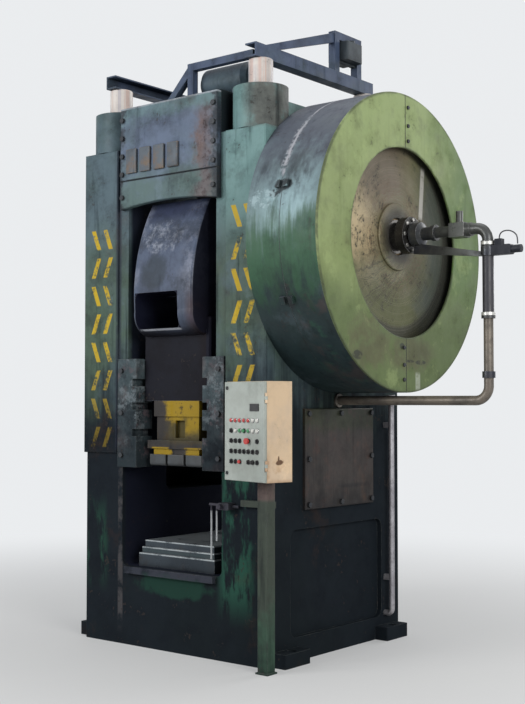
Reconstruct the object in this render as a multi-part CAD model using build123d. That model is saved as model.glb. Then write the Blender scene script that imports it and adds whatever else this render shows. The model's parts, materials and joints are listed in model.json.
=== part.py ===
"""Hot forging press with a flywheel on its eccentric shaft.

All sizes are in millimetres. The origin is the centre of the frame's footprint on the floor.
+X points to the flywheel side, +Y to the rear and +Z up. The ram is at its top dead centre.
"""

import math
import os

from build123d import *

# Frame
frame_width = 1640
frame_depth = 1510
window_width = 800
lower_window_width = 900
lower_window_corner = 40
bed_height = 530
crown_room = 53
crown_plate = 95
crown_rise = 280
corner_radius = 30
window_corner = 70
gib_pad_gap = 10
pad_cover_gap = 50
pad_start = 90
pad_thickness = 20
boss_radius = 180
crown_waist = 170
crown_waist_drop = 30
ledge_height = 45
ledge_depth = 35
foot_width = 100
foot_length = 260
foot_height = 90
foot_inset = 185
anchor_radius = 30
side_cover_lap = 70
side_pocket_depth = 35
side_pocket_margin = 235
side_pocket_bottom = 150
side_pocket_height = 680

# Crown covers
cover_gap = 20
cover_thickness = 45
cover_inset = 9
upper_cover_height = 502
lower_cover_height = 196
cover_arch = 35
cover_bolt_margin = 25
cover_bolt_drop = 114
cover_bolt_rise = 44
cover_bolt_top_margin = 83
cover_bolt_rows = 4

# Fasteners
bolt_radius = 12
bolt_head = 18
bolt_head_height = 15
bolt_grip = 30
bolt_clearance = 1

# Tie rods
rod_radius = 48
rod_clearance = 2
nut_radius = 70
nut_height = 95
nut_recess_radius = 92
nut_recess_depth = 130
cap_radius = 80
cap_height = 190
cap_wall = 6

# Guides
gib_drop = 450
gib_length = 1740
front_gib_length = 735
gib_gap = 0.3
gib_thickness = 100
gib_depth = 135
gib_flange = 80
gib_notches = (234, 414, 574)
gib_notch_height = 50
gib_notch_depth = 40
gib_bolt_rows = 6
front_gib_bolt_rows = 3

# Eccentric shaft
shaft_height = 2712
journal_radius = 150
stroke = 250
eccentric_radius = 300
eccentric_width = 360
shaft_end_radius = 110
shaft_end_stand = 4
brake_shaft_length = 190
bush_wall = 35
bush_flange = 30
bush_flange_thickness = 15
running_clearance = 0.05

# Pitman
pitman_width = 320
pitman_ring = 100
pitman_length = 745
pitman_shank = 260
pitman_shank_inset = 25
pitman_lug_stand = 25
pitman_lug_height = 100
pitman_bolt_radius = 20
pitman_bolt_head = 34
pitman_bolt_head_height = 26
pitman_bolt_inset = 38
pin_radius = 75
pin_room = 30
foot_wall = 60

# Ram
pin_seat = 442
ram_height = 550
ram_inset = 55
ram_nose_width = 536
ram_nose_height = 1340
ram_nose_bulge = 990
ram_nose_stand = 142
ram_nose_root = 140
ram_nose_corner = 22
ram_window_left = 245
ram_window_right = 140
ram_window_rise = 480
ram_window_height = 240
ram_window_corner = 38
ram_pocket_rise = 200
ram_pocket_gap = 5
ram_pocket_room = 50
ram_rib_width = 45
ram_rib_height = 850

# Dies
holder_width = 410
holder_length = 1200
holder_height = 360
holder_top_plate = 105
holder_seat = 10
holder_foot = 40
holder_flange = 55
holder_flange_reach = 45
clamp_width = 146
clamp_pitch = 164
clamp_height = 76
clamp_depth = 110
bolster_width = 620
bolster_depth = 1340
bolster_height = 175
bolster_steps = (90, 130)
bolster_step = 15
ejector_radius = 40
ejector_length = 405

# Flywheel, clutch and guard
flywheel_radius = 860
flywheel_rim = 160
flywheel_stand = 68
flywheel_width = 398
flywheel_web = 60
flywheel_hub = 190
flywheel_hub_length = 306
flywheel_bush_wall = 30
clutch_plate_thickness = 20
clutch_plate_lap = 60
clutch_bore = 300
clutch_disc_radius = 640
clutch_disc_thickness = 20
clutch_gap = 2
clutch_hub_radius = 170
clutch_hub_length = 80
piston_thickness = 36
piston_bore = 450
piston_travel = 4
piston_play = 0.3
cover_disc_radius = 220
cover_disc_thickness = 16
cover_disc_gap = 8
guard_room = 105
guard_drop = 45
guard_wall = 10
guard_back = 12
guard_back_room = 70
guard_seam_stand = 260
guard_front_room = 74
guard_ring_thickness = 12
guard_ring_width = 352
ring_split = 3
lug_angles = (17, -25, 225, 252)
lug_length = 90
lug_width = 46
lug_height = 34

# Belts and motor
belt_count = 4
belt_pitch = 40
belt_margin = 17
belt_width = 22
belt_height = 17
belt_play = 0.5
groove_depth = 14
pulley_radius = 130
motor_back = 495
motor_rise = 338
motor_radius = 175
motor_length = 530
motor_stand = 58
motor_fin = 18
motor_fins = 20
motor_fin_width = 8
motor_cap_length = 70
motor_shield_length = 40
motor_shield_nose = 90
motor_shaft_radius = 32
motor_foot_height = 30
motor_foot_length = 70
motor_foot_reach = 170
motor_foot_places = (120, 370)
terminal_box_left = 180
terminal_box_length = 150
terminal_box_half = 80
terminal_box_height = 90
belt_guard_stand = 22
belt_guard_width = 198
belt_guard_wall = 4
belt_guard_room = 60
belt_guard_bore = 100
bracket_thickness = 25
bracket_room = 45
bracket_reach = 200
bracket_depth = 480
bracket_toe = 90
bracket_left_inset = 100
bracket_right_inset = 50

# Brake
brake_disc_radius = 400
brake_disc_thickness = 30
brake_stand = 150
brake_hub_radius = 165
brake_hub_length = 90
brake_room = 60
brake_housing_wall = 20
brake_housing_length = 260
brake_boss_radius = 130
brake_gap = 1
caliper_depth = 110
caliper_wall = 35
caliper_width = 180

# Top of the crown
beam_height = 90
beam_width = 90
beam_wall = 10
beam_front_inset = 55
beam_back_inset = 115
goal_post_size = 55
goal_post_insets = (535, 265)
goal_post_height = 289
brace_inset = 155
brace_foot = 140
tank_radius = 115
tank_left = 40
tank_length = 430
tank_inset = 315
tank_stand = 20
tank_dome = 45
saddle_width = 50
saddle_inset = 80
lube_tank_size = 170
lube_tank_stand = 95
lube_tank_height = 130
rail_inset = 160
rail_post = 45
rail_size = 50

# Air feed
neck_radius = 92
neck_length = 60
flange_radius = 118
flange_thickness = 60
spindle_radius = 25
spindle_length = 150
union_gap = 12
union_length = 168
union_radius = 76
union_head = 58
union_neck = 42
nipple_radius = 34
nipple_length = 110
swivel_length = 106
swivel_size = 90
port_radius = 22
port_height = 75
line_stand = 144
line_radius = 35
line_wall = 5
line_nut = 8
line_nut_length = 35
hose_collar_radius = 44
hose_collar_height = 30
elbow_bend = 75
hose_drop = 112
hose_length = 409
coupling_radius = 43
coupling_height = 37
stay_width = 36
pipe_drop = 50
pipe_radius = 30
pipe_bend = 90
pipe_flange_radius = 46
pipe_flange_thickness = 15
collar_radius = 40
collar_height = 40
collar_rise = 138
valve_length = 200
valve_height = 60
valve_width = 56
valve_drop = 32

# Sides
side_cover_margin = 365
side_cover_drop = 52
side_cover_height = 650
side_cover_thickness = 25
side_bolt_margin = 32
oil_pipe_radius = 20
oil_pipe_inset = 195
oil_pipe_stand = 60
oil_pipe_rise = 90
oil_pipe_bottom = 170
oil_pipe_bend = 35
oil_collar_wall = 9
oil_collar_height = 70
oil_clamp_insets = (250, 210)

# Operator's box, in its own frame: x along the door, y to the back, z up from its floor
box_width = 400
box_depth = 210
box_height = 600
box_sheet = 3
box_stand_x = 69
box_stand_y = 175
box_bottom = 1167
box_turn = -13.5
door_depth = 20
door_gap = 0.5
door_inset = 2
hinge_offset = 8
hinge_radius = 8
hinge_pin_radius = 4
hinge_places = (100, 500)
hinge_half = 30
knuckle_half = 10
lock_inset = 31
lock_places = (46, 561)
lock_radius = 8
lock_head = 11
control_first_x = -125
control_pitch_x = 43
control_rows_z = (366, 304, 243, 180, 118)
button_radius = 11
bezel_radius = 15
bezel_height = 5
button_height = 8
button_travel = 4
contact_radius = 16
contact_depth = 38
mushroom_radius = 19
display_x = 106
display_z = 444
display_width = 84
display_height = 44
post_stand_x = 70
post_stand_y = 95
post_size = 75
post_wall = 5
post_plate = 95
post_plate_thickness = 10
arm_height = 40
arm_drop = 177
arm_room = 60
arm_lap = 180

# Spray valve on the right column
spray_inset = 120
spray_drop = 305
spray_body = 70
spray_length = 90
spray_height = 44
spray_pipe_radius = 6
spray_pipe_stand = 25
spray_pipes = ((135, 345), (90, 225))

# Widths and depths that follow
half_width = frame_width / 2
half_depth = frame_depth / 2
half_window = window_width / 2
pad_face = half_depth + pad_thickness
rod_x = half_width - boss_radius
rod_y = pad_face - boss_radius
foot_centre = half_depth - foot_inset
tank_y = tank_inset - half_depth
goal_post_places = [half_depth - inset for inset in goal_post_insets]
brace_front = half_depth - brace_inset
side_pocket_width = frame_depth - 2 * side_pocket_margin
side_cover_width = frame_depth - 2 * side_cover_margin
cover_width = 2 * (rod_x - boss_radius - cover_gap)
pad_inner = max(half_window + gib_flange + gib_pad_gap, cover_width / 2 + pad_cover_gap)
ram_depth = frame_depth - 2 * ram_inset
ram_nose_reach = ram_depth / 2 + ram_nose_stand
ram_nose_back = ram_depth / 2 - ram_nose_root
ram_pocket_width = pitman_width + 2 * ram_pocket_gap
foot_radius = pin_radius + pin_room + foot_wall
ram_pocket_front = stroke / 2 + foot_radius + ram_pocket_room
holder_front = ram_depth / 2
holder_back = holder_length - holder_front
pitman_outer = eccentric_radius + pitman_ring
pitman_lug_reach = pitman_outer + pitman_lug_stand
pitman_bolt_place = pitman_outer - pitman_bolt_inset

# Heights that follow: the pitman hangs from the shaft and carries the ram, the crown stands over it
eccentric_height = shaft_height + stroke / 2
pin_height = eccentric_height - pitman_length
ram_bottom = pin_height - pin_seat
ram_window_bottom = ram_bottom + ram_window_rise
ram_window_top = ram_window_bottom + ram_window_height
holder_bottom = ram_bottom - holder_height
holder_waist_top = ram_bottom - holder_top_plate
gib_bottom = ram_bottom - gib_drop
gib_top = gib_bottom + gib_length
front_gib_top = gib_bottom + front_gib_length
pad_bottom = gib_bottom + pad_start
bolster_top = bed_height + bolster_height
ejector_bottom = bolster_top - ejector_length
crown_underside = eccentric_height + pitman_outer + crown_room
shoulder_height = crown_underside + crown_plate
crown_height = shoulder_height + crown_rise
cover_top = crown_height - cover_inset
cover_seam = cover_top - upper_cover_height
cover_bottom = cover_seam - lower_cover_height
beam_bottom = crown_height + cap_height
beam_top = beam_bottom + beam_height
goal_post_top = beam_top + goal_post_height
side_pocket_top = side_pocket_bottom + side_pocket_height

# The flywheel side, outwards from the frame
flywheel_inner_face = half_width + flywheel_stand
flywheel_outer_face = flywheel_inner_face + flywheel_width
flywheel_bore = shaft_end_radius + flywheel_bush_wall
shaft_end_right = flywheel_outer_face + shaft_end_stand
shaft_end_left = half_width + brake_shaft_length
clutch_disc_face = flywheel_inner_face + clutch_gap
guard_height = shaft_height - guard_drop
guard_radius = flywheel_radius + guard_room
guard_bore = guard_radius - guard_wall
guard_back_bore = clutch_hub_radius + guard_back_room
guard_ring_bore = guard_radius - guard_ring_width
guard_seam = half_width + guard_seam_stand
guard_face = flywheel_outer_face + guard_front_room
belt_first = flywheel_inner_face + belt_margin
belt_guard_left = flywheel_inner_face - belt_guard_stand
belt_guard_right = belt_guard_left + belt_guard_width
belt_guard_nose = pulley_radius + belt_guard_room
motor_right = flywheel_inner_face - motor_stand
motor_left = motor_right - motor_length
motor_y = half_depth + motor_back
motor_z = shaft_height + motor_rise
motor_base = motor_z - motor_radius - motor_foot_height
flange_left = shaft_end_right + neck_length
flange_right = flange_left + flange_thickness
spindle_end = flange_right + spindle_length
union_left = flange_right + union_gap
union_right = union_left + union_length
swivel_left = union_right + nipple_length
swivel_right = swivel_left + swivel_length
line_x = swivel_right + line_stand
hose_top = shaft_height - hose_drop
hose_bottom = hose_top - hose_length
valve_z = hose_top - valve_drop
return_height = guard_height - guard_radius - pipe_drop
side_cover_top = return_height - side_cover_drop
side_cover_bottom = side_cover_top - side_cover_height
oil_pipe_top = side_cover_top + oil_pipe_rise
oil_clamp_places = (oil_pipe_bottom + oil_clamp_insets[0], oil_pipe_top - oil_clamp_insets[1])
brake_disc_face = half_width + brake_stand
brake_housing_radius = brake_disc_radius + brake_room

# The box's side
box_x = half_width + box_stand_x
box_y = -half_depth - box_stand_y
post_x = half_width + post_stand_x
post_y = -half_depth - post_stand_y
arm_bottom = min(box_bottom - arm_drop, pad_bottom - arm_room)
arm_left = half_width - arm_lap
oil_pipe_y = half_depth - oil_pipe_inset
spray_x = half_window + spray_inset
spray_z = pad_bottom - spray_drop
lock_x = lock_inset - box_width / 2
door_front = -box_depth / 2
door_back = door_front + door_depth
hinge_x = box_width / 2 + hinge_offset
hinge_y = door_back - door_depth / 2


def block(x_span, y_span, z_span):
    """A box between the given pairs of coordinates."""
    (x0, x1), (y0, y1), (z0, z1) = x_span, y_span, z_span
    return Pos((x0 + x1) / 2, (y0 + y1) / 2, (z0 + z1) / 2) * Box(x1 - x0, y1 - y0, z1 - z0)


def bar_x(radius, x0, x1, y, z):
    """A round bar along X."""
    return Pos((x0 + x1) / 2, y, z) * Rot(0, 90, 0) * Cylinder(radius, x1 - x0)


def bar_y(radius, y0, y1, x, z):
    """A round bar along Y."""
    return Pos(x, (y0 + y1) / 2, z) * Rot(90, 0, 0) * Cylinder(radius, y1 - y0)


def bar_z(radius, z0, z1, x, y):
    """A round bar along Z."""
    return Pos(x, y, (z0 + z1) / 2) * Cylinder(radius, z1 - z0)


def tube_x(radius, bore, x0, x1, y, z):
    """A round tube along X."""
    return bar_x(radius, x0, x1, y, z) - bar_x(bore, x0 - 1, x1 + 1, y, z)


def prism_x(sketch, x0, x1):
    """A sketch in Y and Z, drawn out along X."""
    return extrude(Plane.YZ.offset(x0) * sketch, x1 - x0)


def prism_y(sketch, y0, y1):
    """A sketch in X and Z, drawn out along Y."""
    return extrude(Plane.XZ.offset(-y1) * sketch, y1 - y0)


def prism_z(sketch, z0, z1):
    """A sketch in X and Y, drawn out along Z."""
    return extrude(Plane.XY.offset(z0) * sketch, z1 - z0)


def polygon(*points):
    """A closed sketch through the points."""
    return make_face(Polyline(*points, close=True))


def turned(points, y, z):
    """A solid turned about an axis along X, from points (x, radius)."""
    return Pos(0, y, z) * revolve(polygon(*points), Axis.X)


def hex_bolt(length, radius=bolt_radius, head=bolt_head, height=bolt_head_height):
    """A bolt whose head stands on the plane z = 0 and whose shank points down."""
    top = extrude(RegularPolygon(head, 6, major_radius=True), height)
    return top + Pos(0, 0, -length / 2) * Cylinder(radius, length)


def mirrored_x(piece):
    """A piece and its mirror image across the YZ plane."""
    return [piece, mirror(piece, Plane.YZ)]


def group(pieces):
    """All solids of the pieces as one compound."""
    return Compound([solid for piece in pieces for solid in piece.solids()])


def facing(direction):
    """The turn that brings +Z onto a direction along an axis."""
    turns = {
        "front": Rot(90, 0, 0),
        "back": Rot(-90, 0, 0),
        "right": Rot(0, 90, 0),
        "left": Rot(0, -90, 0),
        "up": Rot(0, 0, 0),
    }
    return turns[direction]


def corners(x, y):
    """The four places at plus and minus x and y."""
    return [(i * x, j * y) for i in (-1, 1) for j in (-1, 1)]


def cover_bolt_places():
    """Places (x, z) of the crown covers' bolts: one row in the lower cover, the rest in the upper."""
    x = cover_width / 2 - cover_bolt_margin
    first, last = cover_seam + cover_bolt_rise, cover_top - cover_bolt_top_margin
    pitch = (last - first) / (cover_bolt_rows - 1)
    upper = [first + i * pitch for i in range(cover_bolt_rows)]
    return [(side * x, z) for side in (-1, 1) for z in [cover_seam - cover_bolt_drop] + upper]


def gib_bolt_places(top, rows):
    """Places (x, z) of the bolts of two gibs with the given top, on their flanges."""
    x = half_window + gib_flange / 2
    margin = gib_flange
    pitch = (top - gib_bottom - 2 * margin) / (rows - 1)
    heights = [gib_bottom + margin + i * pitch for i in range(rows)]
    return [(side * x, z) for side in (-1, 1) for z in heights]


def side_bolt_places():
    """Places (y, z) of a side cover's bolts."""
    y = side_cover_width / 2 - side_bolt_margin
    low = side_cover_bottom + side_bolt_margin
    high = side_cover_top - side_bolt_margin
    middle = (low + high) / 2
    return [(-y, low), (0, low), (y, low), (-y, middle), (y, middle), (-y, high), (0, high), (y, high)]


def press_frame():
    """The cast frame: bed, two columns, crown and the bosses of the tie rods."""
    outline = RectangleRounded(frame_width, frame_depth, corner_radius)
    frame = prism_z(outline, 0, shoulder_height)
    opening_height = crown_underside - bed_height
    opening = Pos(0, (bed_height + crown_underside) / 2) * Rectangle(window_width, opening_height)
    opening = fillet(opening.vertices(), window_corner)
    frame -= prism_y(opening, -half_depth - 1, half_depth + 1)
    lower = Rectangle(lower_window_width, gib_bottom - bed_height)
    lower = fillet(lower.vertices().group_by(Axis.Y)[0], lower_window_corner)
    frame -= prism_y(Pos(0, (bed_height + gib_bottom) / 2) * lower, -half_depth - 1, half_depth + 1)

    waist = frame_width - 2 * crown_waist
    frame += block((-waist / 2, waist / 2), (-rod_y, rod_y),
                   (shoulder_height, crown_height - crown_waist_drop))
    frame += block((-cover_width / 2, cover_width / 2), (-half_depth, half_depth),
                   (shoulder_height, crown_height))
    for x, y in corners(rod_x, rod_y):
        frame += bar_z(boss_radius, shoulder_height, crown_height, x, y)

    pad = block((pad_inner, half_width), (-pad_face, -half_depth + corner_radius),
                (pad_bottom, shoulder_height))
    pad = chamfer(pad.edges().group_by(Axis.Y)[0], 8)
    pad -= bar_z(corner_radius, 0, crown_height, half_width + 1, 0)
    for piece in mirrored_x(pad):
        frame += piece
    frame += block((-half_window, half_window), (-half_depth - ledge_depth, -half_depth),
                   (bed_height - ledge_height, bed_height))

    for side in (-1, 1):
        for end in (-1, 1):
            foot = Pos(side * (half_width + foot_width / 2 - 10), end * foot_centre)
            frame += prism_z(foot * RectangleRounded(foot_width + 20, foot_length, 10), 0, foot_height)

    side_window = RectangleRounded(side_cover_width - 2 * side_cover_lap,
                                   side_cover_top - side_cover_bottom - 2 * side_cover_lap, 50)
    side_window = Pos(0, (side_cover_top + side_cover_bottom) / 2) * side_window
    frame -= prism_x(side_window, -half_width - 1, half_width + 1)
    pocket = RectangleRounded(side_pocket_width, side_pocket_top - side_pocket_bottom, 60)
    pocket = Pos(0, (side_pocket_top + side_pocket_bottom) / 2) * pocket
    for side in (-1, 1):
        inner, outer = half_width - side_pocket_depth, half_width + 1
        frame -= prism_x(pocket, *sorted((side * inner, side * outer)))

    frame -= bar_x(journal_radius + bush_wall, -half_width - 1, half_width + 1, 0, shaft_height)
    frame -= bar_z(ejector_radius + running_clearance, ejector_bottom, bed_height + 1, 0, 0)
    for x, y in corners(rod_x, rod_y):
        frame -= bar_z(rod_radius + rod_clearance, -1, crown_height + 1, x, y)
        frame -= bar_z(nut_recess_radius, -1, nut_recess_depth, x, y)
    for x, y in corners(half_width + foot_width / 2, foot_centre):
        frame -= bar_z(anchor_radius, -1, foot_height + 1, x, y)
    for x, z in cover_bolt_places():
        frame -= bar_y(bolt_radius, -half_depth - 1, -half_depth + bolt_grip, x, z)
    for x, z in gib_bolt_places(front_gib_top, front_gib_bolt_rows):
        frame -= bar_y(bolt_radius, -half_depth - 1, -half_depth + bolt_grip, x, z)
    for x, z in gib_bolt_places(gib_top, gib_bolt_rows):
        frame -= bar_y(bolt_radius, half_depth - bolt_grip, half_depth + 1, x, z)
    for y, z in side_bolt_places():
        frame -= bar_x(bolt_radius, half_width - bolt_grip, half_width + 1, y, z)
        frame -= bar_x(bolt_radius, -half_width - 1, -half_width + bolt_grip, y, z)
    return frame


def crown_covers():
    """The upper and lower cover plates over the crown's front."""
    front, back = -half_depth - cover_thickness, -half_depth
    upper = block((-cover_width / 2, cover_width / 2), (front, back), (cover_seam, cover_top))
    upper = chamfer(upper.edges().group_by(Axis.Y)[0], 5)
    half = cover_width / 2
    sides = Polyline((half, cover_bottom), (half, cover_seam), (-half, cover_seam), (-half, cover_bottom))
    arch = ThreePointArc((-half, cover_bottom), (0, cover_bottom + cover_arch), (half, cover_bottom))
    lower = prism_y(make_face(sides + arch), front, back)
    lower = chamfer(lower.edges().group_by(Axis.Y)[0], 5)
    for x, z in cover_bolt_places():
        hole = bar_y(bolt_radius + bolt_clearance, front - 1, back + 1, x, z)
        upper -= hole
        lower -= hole
    return upper, lower


def frame_bolts():
    """Hexagon bolts of the crown covers, the gibs and the side covers."""
    bolts = []
    for x, z in cover_bolt_places():
        place = Pos(x, -half_depth - cover_thickness, z)
        bolts.append(place * facing("front") * hex_bolt(cover_thickness + bolt_grip))
    bolt = hex_bolt(pad_thickness + bolt_grip)
    for x, z in gib_bolt_places(front_gib_top, front_gib_bolt_rows):
        bolts.append(Pos(x, -pad_face, z) * facing("front") * bolt)
    for x, z in gib_bolt_places(gib_top, gib_bolt_rows):
        bolts.append(Pos(x, pad_face, z) * facing("back") * bolt)
    for y, z in side_bolt_places():
        face = half_width + side_cover_thickness
        bolt = hex_bolt(side_cover_thickness + bolt_grip)
        bolts.append(Pos(face, y, z) * facing("right") * bolt)
        bolts.append(Pos(-face, y, z) * facing("left") * bolt)
    return group(bolts)


def tie_rods():
    """Four rods through the columns."""
    top = crown_height + nut_height + 20
    return group([bar_z(rod_radius, 20, top, x, y) for x, y in corners(rod_x, rod_y)])


def tie_rod_nuts():
    """A nut above and below on each tie rod."""
    nuts = []
    for x, y in corners(rod_x, rod_y):
        bore = Circle(rod_radius)
        hexagon = RegularPolygon(nut_radius, 6, major_radius=True) - bore
        nuts.append(Pos(x, y, 0) * prism_z(hexagon, crown_height, crown_height + nut_height))
        round_nut = Circle(nut_recess_radius - 4) - bore
        bottom = nut_recess_depth - nut_height
        nuts.append(Pos(x, y, 0) * prism_z(round_nut, bottom, nut_recess_depth))
    return group(nuts)


def tie_rod_caps():
    """Four cups over the upper nuts."""
    caps = []
    top = crown_height + cap_height
    for x, y in corners(rod_x, rod_y):
        cap = bar_z(cap_radius, crown_height, top, x, y)
        cap = chamfer(cap.edges().group_by(Axis.Z)[-1], 6)
        caps.append(cap - bar_z(cap_radius - cap_wall, crown_height - 1, top - cap_wall, x, y))
    return group(caps)


def ram_gibs():
    """Four guide bars of angle section, each with a flange on the column's face."""
    inner = half_window - gib_thickness
    section = polygon(
        (inner, -pad_face), (half_window + gib_flange, -pad_face),
        (half_window + gib_flange, -half_depth), (half_window, -half_depth),
        (half_window, -half_depth + gib_depth), (inner, -half_depth + gib_depth),
    )
    pairs = []
    for top, rows in ((front_gib_top, front_gib_bolt_rows), (gib_top, gib_bolt_rows)):
        bar = prism_z(section, gib_bottom, top)
        for rise in gib_notches:
            notch_x = (inner - 1, inner + gib_notch_depth)
            low = gib_bottom + rise - gib_notch_height / 2
            bar -= block(notch_x, (-pad_face - 1, -half_depth + gib_depth + 1),
                         (low, low + gib_notch_height))
        for x, z in gib_bolt_places(top, rows):
            if x > 0:
                bar -= bar_y(bolt_radius + bolt_clearance, -pad_face - 1, -half_depth + 1, x, z)
        pairs.append(mirrored_x(bar))
    front, rear = pairs
    return group(front + [mirror(piece, Plane.XZ) for piece in rear])


def bolster():
    """The die plate on the bed, with two low steps round it."""
    plate = None
    bottom = bed_height
    for i, rise in enumerate((*bolster_steps, bolster_height)):
        grow = (len(bolster_steps) - i) * bolster_step
        half, deep = bolster_width / 2 + grow, bolster_depth / 2 + grow
        layer = block((-half, half), (-deep, deep), (bottom, bed_height + rise))
        plate = layer if plate is None else plate + layer
        bottom = bed_height + rise
    return plate - bar_z(ejector_radius + running_clearance, bed_height - 1, bolster_top + 1, 0, 0)


def drum_hull(drum_height, drum_radius, nose_radius):
    """The hull of a circle at the given height and one about the motor's axis, in Y and Z."""
    drum = Pos(0, drum_height) * Circle(drum_radius)
    nose = Pos(motor_y, motor_z) * Circle(nose_radius)
    return make_hull(drum.edges() + nose.edges())


def flywheel_guard():
    """The inner drum with its back plate, the outer shell and the two halves of the front ring."""
    z = guard_height
    drum = bar_x(guard_radius, half_width, guard_seam, 0, z)
    drum -= bar_x(guard_bore, half_width + guard_back, guard_seam + 1, 0, z)
    drum -= bar_x(guard_back_bore, half_width - 1, half_width + guard_back + 1, 0, shaft_height)
    slot = drum_hull(z, guard_bore - 5, belt_guard_nose - belt_guard_wall)
    drum -= prism_x(slot, belt_guard_left + belt_guard_wall, belt_guard_right - belt_guard_wall)
    ring_face = guard_face - guard_ring_thickness
    shell = tube_x(guard_radius, guard_bore, guard_seam, ring_face, 0, z)
    ring = tube_x(guard_radius, guard_ring_bore, ring_face, guard_face, 0, z)
    ring = chamfer(ring.edges().group_by(Axis.X)[-1], 4)
    ring -= block((ring_face - 1, guard_face + 1), (-ring_split / 2, ring_split / 2),
                  (z - guard_radius - 1, z + guard_radius + 1))
    return drum, shell, ring


def guard_lugs():
    """Lugs that hold the two halves of the guard together across the seam."""
    lugs = []
    for angle in lug_angles:
        lug = Box(lug_length, lug_height, lug_width)
        lug -= Pos(0, -lug_height / 2, 0) * Box(lug_length / 3, lug_height, lug_width + 2)
        lug = Pos(guard_seam, -guard_radius - lug_height / 2 + 12, 0) * lug
        lug = Pos(0, 0, guard_height) * Rot(-angle, 0, 0) * lug
        lugs.append(lug - bar_x(guard_radius, half_width, guard_face, 0, guard_height))
    return group(lugs)


def shaft_bushes():
    """Two flanged bushes in the columns."""
    outer = journal_radius + bush_wall
    inner = journal_radius + running_clearance
    face = half_window - bush_flange_thickness
    points = [(face, inner), (half_width, inner), (half_width, outer), (half_window, outer),
              (half_window, outer + bush_flange), (face, outer + bush_flange)]
    return group(mirrored_x(turned(points, 0, shaft_height)))


def eccentric_shaft():
    """The shaft: two journals, the full eccentric and stepped ends."""
    z = shaft_height
    shaft = bar_x(journal_radius, -half_width, half_width, 0, z)
    shaft += bar_x(shaft_end_radius, -shaft_end_left, shaft_end_right, 0, z)
    shaft += bar_x(eccentric_radius, -eccentric_width / 2, eccentric_width / 2, 0, eccentric_height)
    return shaft


def pitman_parts():
    """The pitman with its foot, the cap over the eccentric and their four bolts."""
    outer = pitman_outer
    half = pitman_width / 2
    z = eccentric_height
    ring = bar_x(outer, -half, half, 0, z)
    lug = block((-half, half), (-pitman_lug_reach, pitman_lug_reach),
                (z - pitman_lug_height, z + pitman_lug_height))
    slot_run = stroke / 2
    foot = Pos(-slot_run / 2, pin_height) * SlotCenterToCenter(slot_run, 2 * foot_radius)
    shank = polygon((-pitman_shank, z - eccentric_radius), (pitman_shank, z - eccentric_radius),
                    (foot_radius - 20, pin_height), (-slot_run - foot_radius + 20, pin_height))
    web = half - pitman_shank_inset
    body = ring + lug + prism_x(foot, -half, half) + prism_x(shank, -web, web)
    body -= bar_x(eccentric_radius + running_clearance, -half - 1, half + 1, 0, z)
    slot = Pos(-slot_run / 2, pin_height) * SlotCenterToCenter(slot_run, 2 * (pin_radius + pin_room))
    body -= prism_x(slot, -half - 1, half + 1)
    bolts = []
    for x in (-half / 2, half / 2):
        for y in (-pitman_bolt_place, pitman_bolt_place):
            low = z - pitman_lug_height
            body -= bar_z(pitman_bolt_radius, low - 200, z + outer, x, y)
            length = 2 * pitman_lug_height
            head, height = pitman_bolt_head, pitman_bolt_head_height
            bolt = hex_bolt(length, pitman_bolt_radius, head, height)
            nut = prism_z(RegularPolygon(head, 6, major_radius=True), -length - height, -length)
            bolts.append(Pos(x, y, z + pitman_lug_height) * (bolt + nut))
    spot_low = z - pitman_lug_height
    spot_high = z + pitman_lug_height
    for side in (-1, 1):
        span = sorted((side * (pitman_bolt_place - pitman_bolt_head - 8), side * (outer + 50)))
        body -= block((-half - 1, half + 1), span, (spot_high, z + outer))
        body -= block((-half - 1, half + 1), span, (z - outer, spot_low))
    upper_half = block((-half - 1, half + 1), (-outer - 60, outer + 60), (z, z + outer + 1))
    return body - upper_half, body & upper_half, group(bolts)


def ram():
    """The ram: guided block with a pocket for the pitman's foot and a tall curved nose."""
    half = half_window - gib_thickness - gib_gap
    top = ram_bottom + ram_height
    body = block((-half, half), (-ram_depth / 2, ram_depth / 2), (ram_bottom, top))
    body = chamfer(body.edges().filter_by(Axis.Z), 12)
    front = -ram_depth / 2
    low = top - 120
    outline = Polyline((-ram_nose_back, low), (front, low))
    outline += ThreePointArc((front, low), (-ram_nose_reach + 36, low + 50),
                             (-ram_nose_reach, low + 170))
    nose_top = ram_bottom + ram_nose_height
    outline += ThreePointArc((-ram_nose_reach, low + 170),
                             (-ram_nose_reach + 30, ram_bottom + ram_nose_bulge),
                             (-ram_nose_reach + 172, nose_top))
    outline += Polyline((-ram_nose_reach + 172, nose_top), (-ram_nose_back, nose_top),
                        (-ram_nose_back, low))
    nose_half = ram_nose_width / 2
    nose = prism_x(make_face(outline), -nose_half, nose_half)
    nose_edges = nose.edges().filter_by(GeomType.CIRCLE)
    nose = fillet(nose_edges, ram_nose_corner)
    body += nose
    rib = polygon((-ram_nose_back - 5, top - 5), (-ram_pocket_front, top - 5),
                  (-ram_nose_back - 5, ram_bottom + ram_rib_height))
    for side in (-1, 1):
        inner, outer = nose_half - ram_rib_width, nose_half
        body += prism_x(rib, *sorted((side * inner, side * outer)))
    body -= block((-ram_pocket_width / 2, ram_pocket_width / 2), (-ram_pocket_front, ram_depth),
                  (ram_bottom + ram_pocket_rise, top + 1))
    window = Pos((ram_window_right - ram_window_left) / 2, (ram_window_bottom + ram_window_top) / 2)
    window *= RectangleRounded(ram_window_left + ram_window_right,
                               ram_window_top - ram_window_bottom, ram_window_corner)
    body -= prism_y(window, -ram_depth, -ram_pocket_front - 80)
    body -= bar_x(pin_radius, -half - 1, half + 1, 0, pin_height)
    return body


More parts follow.
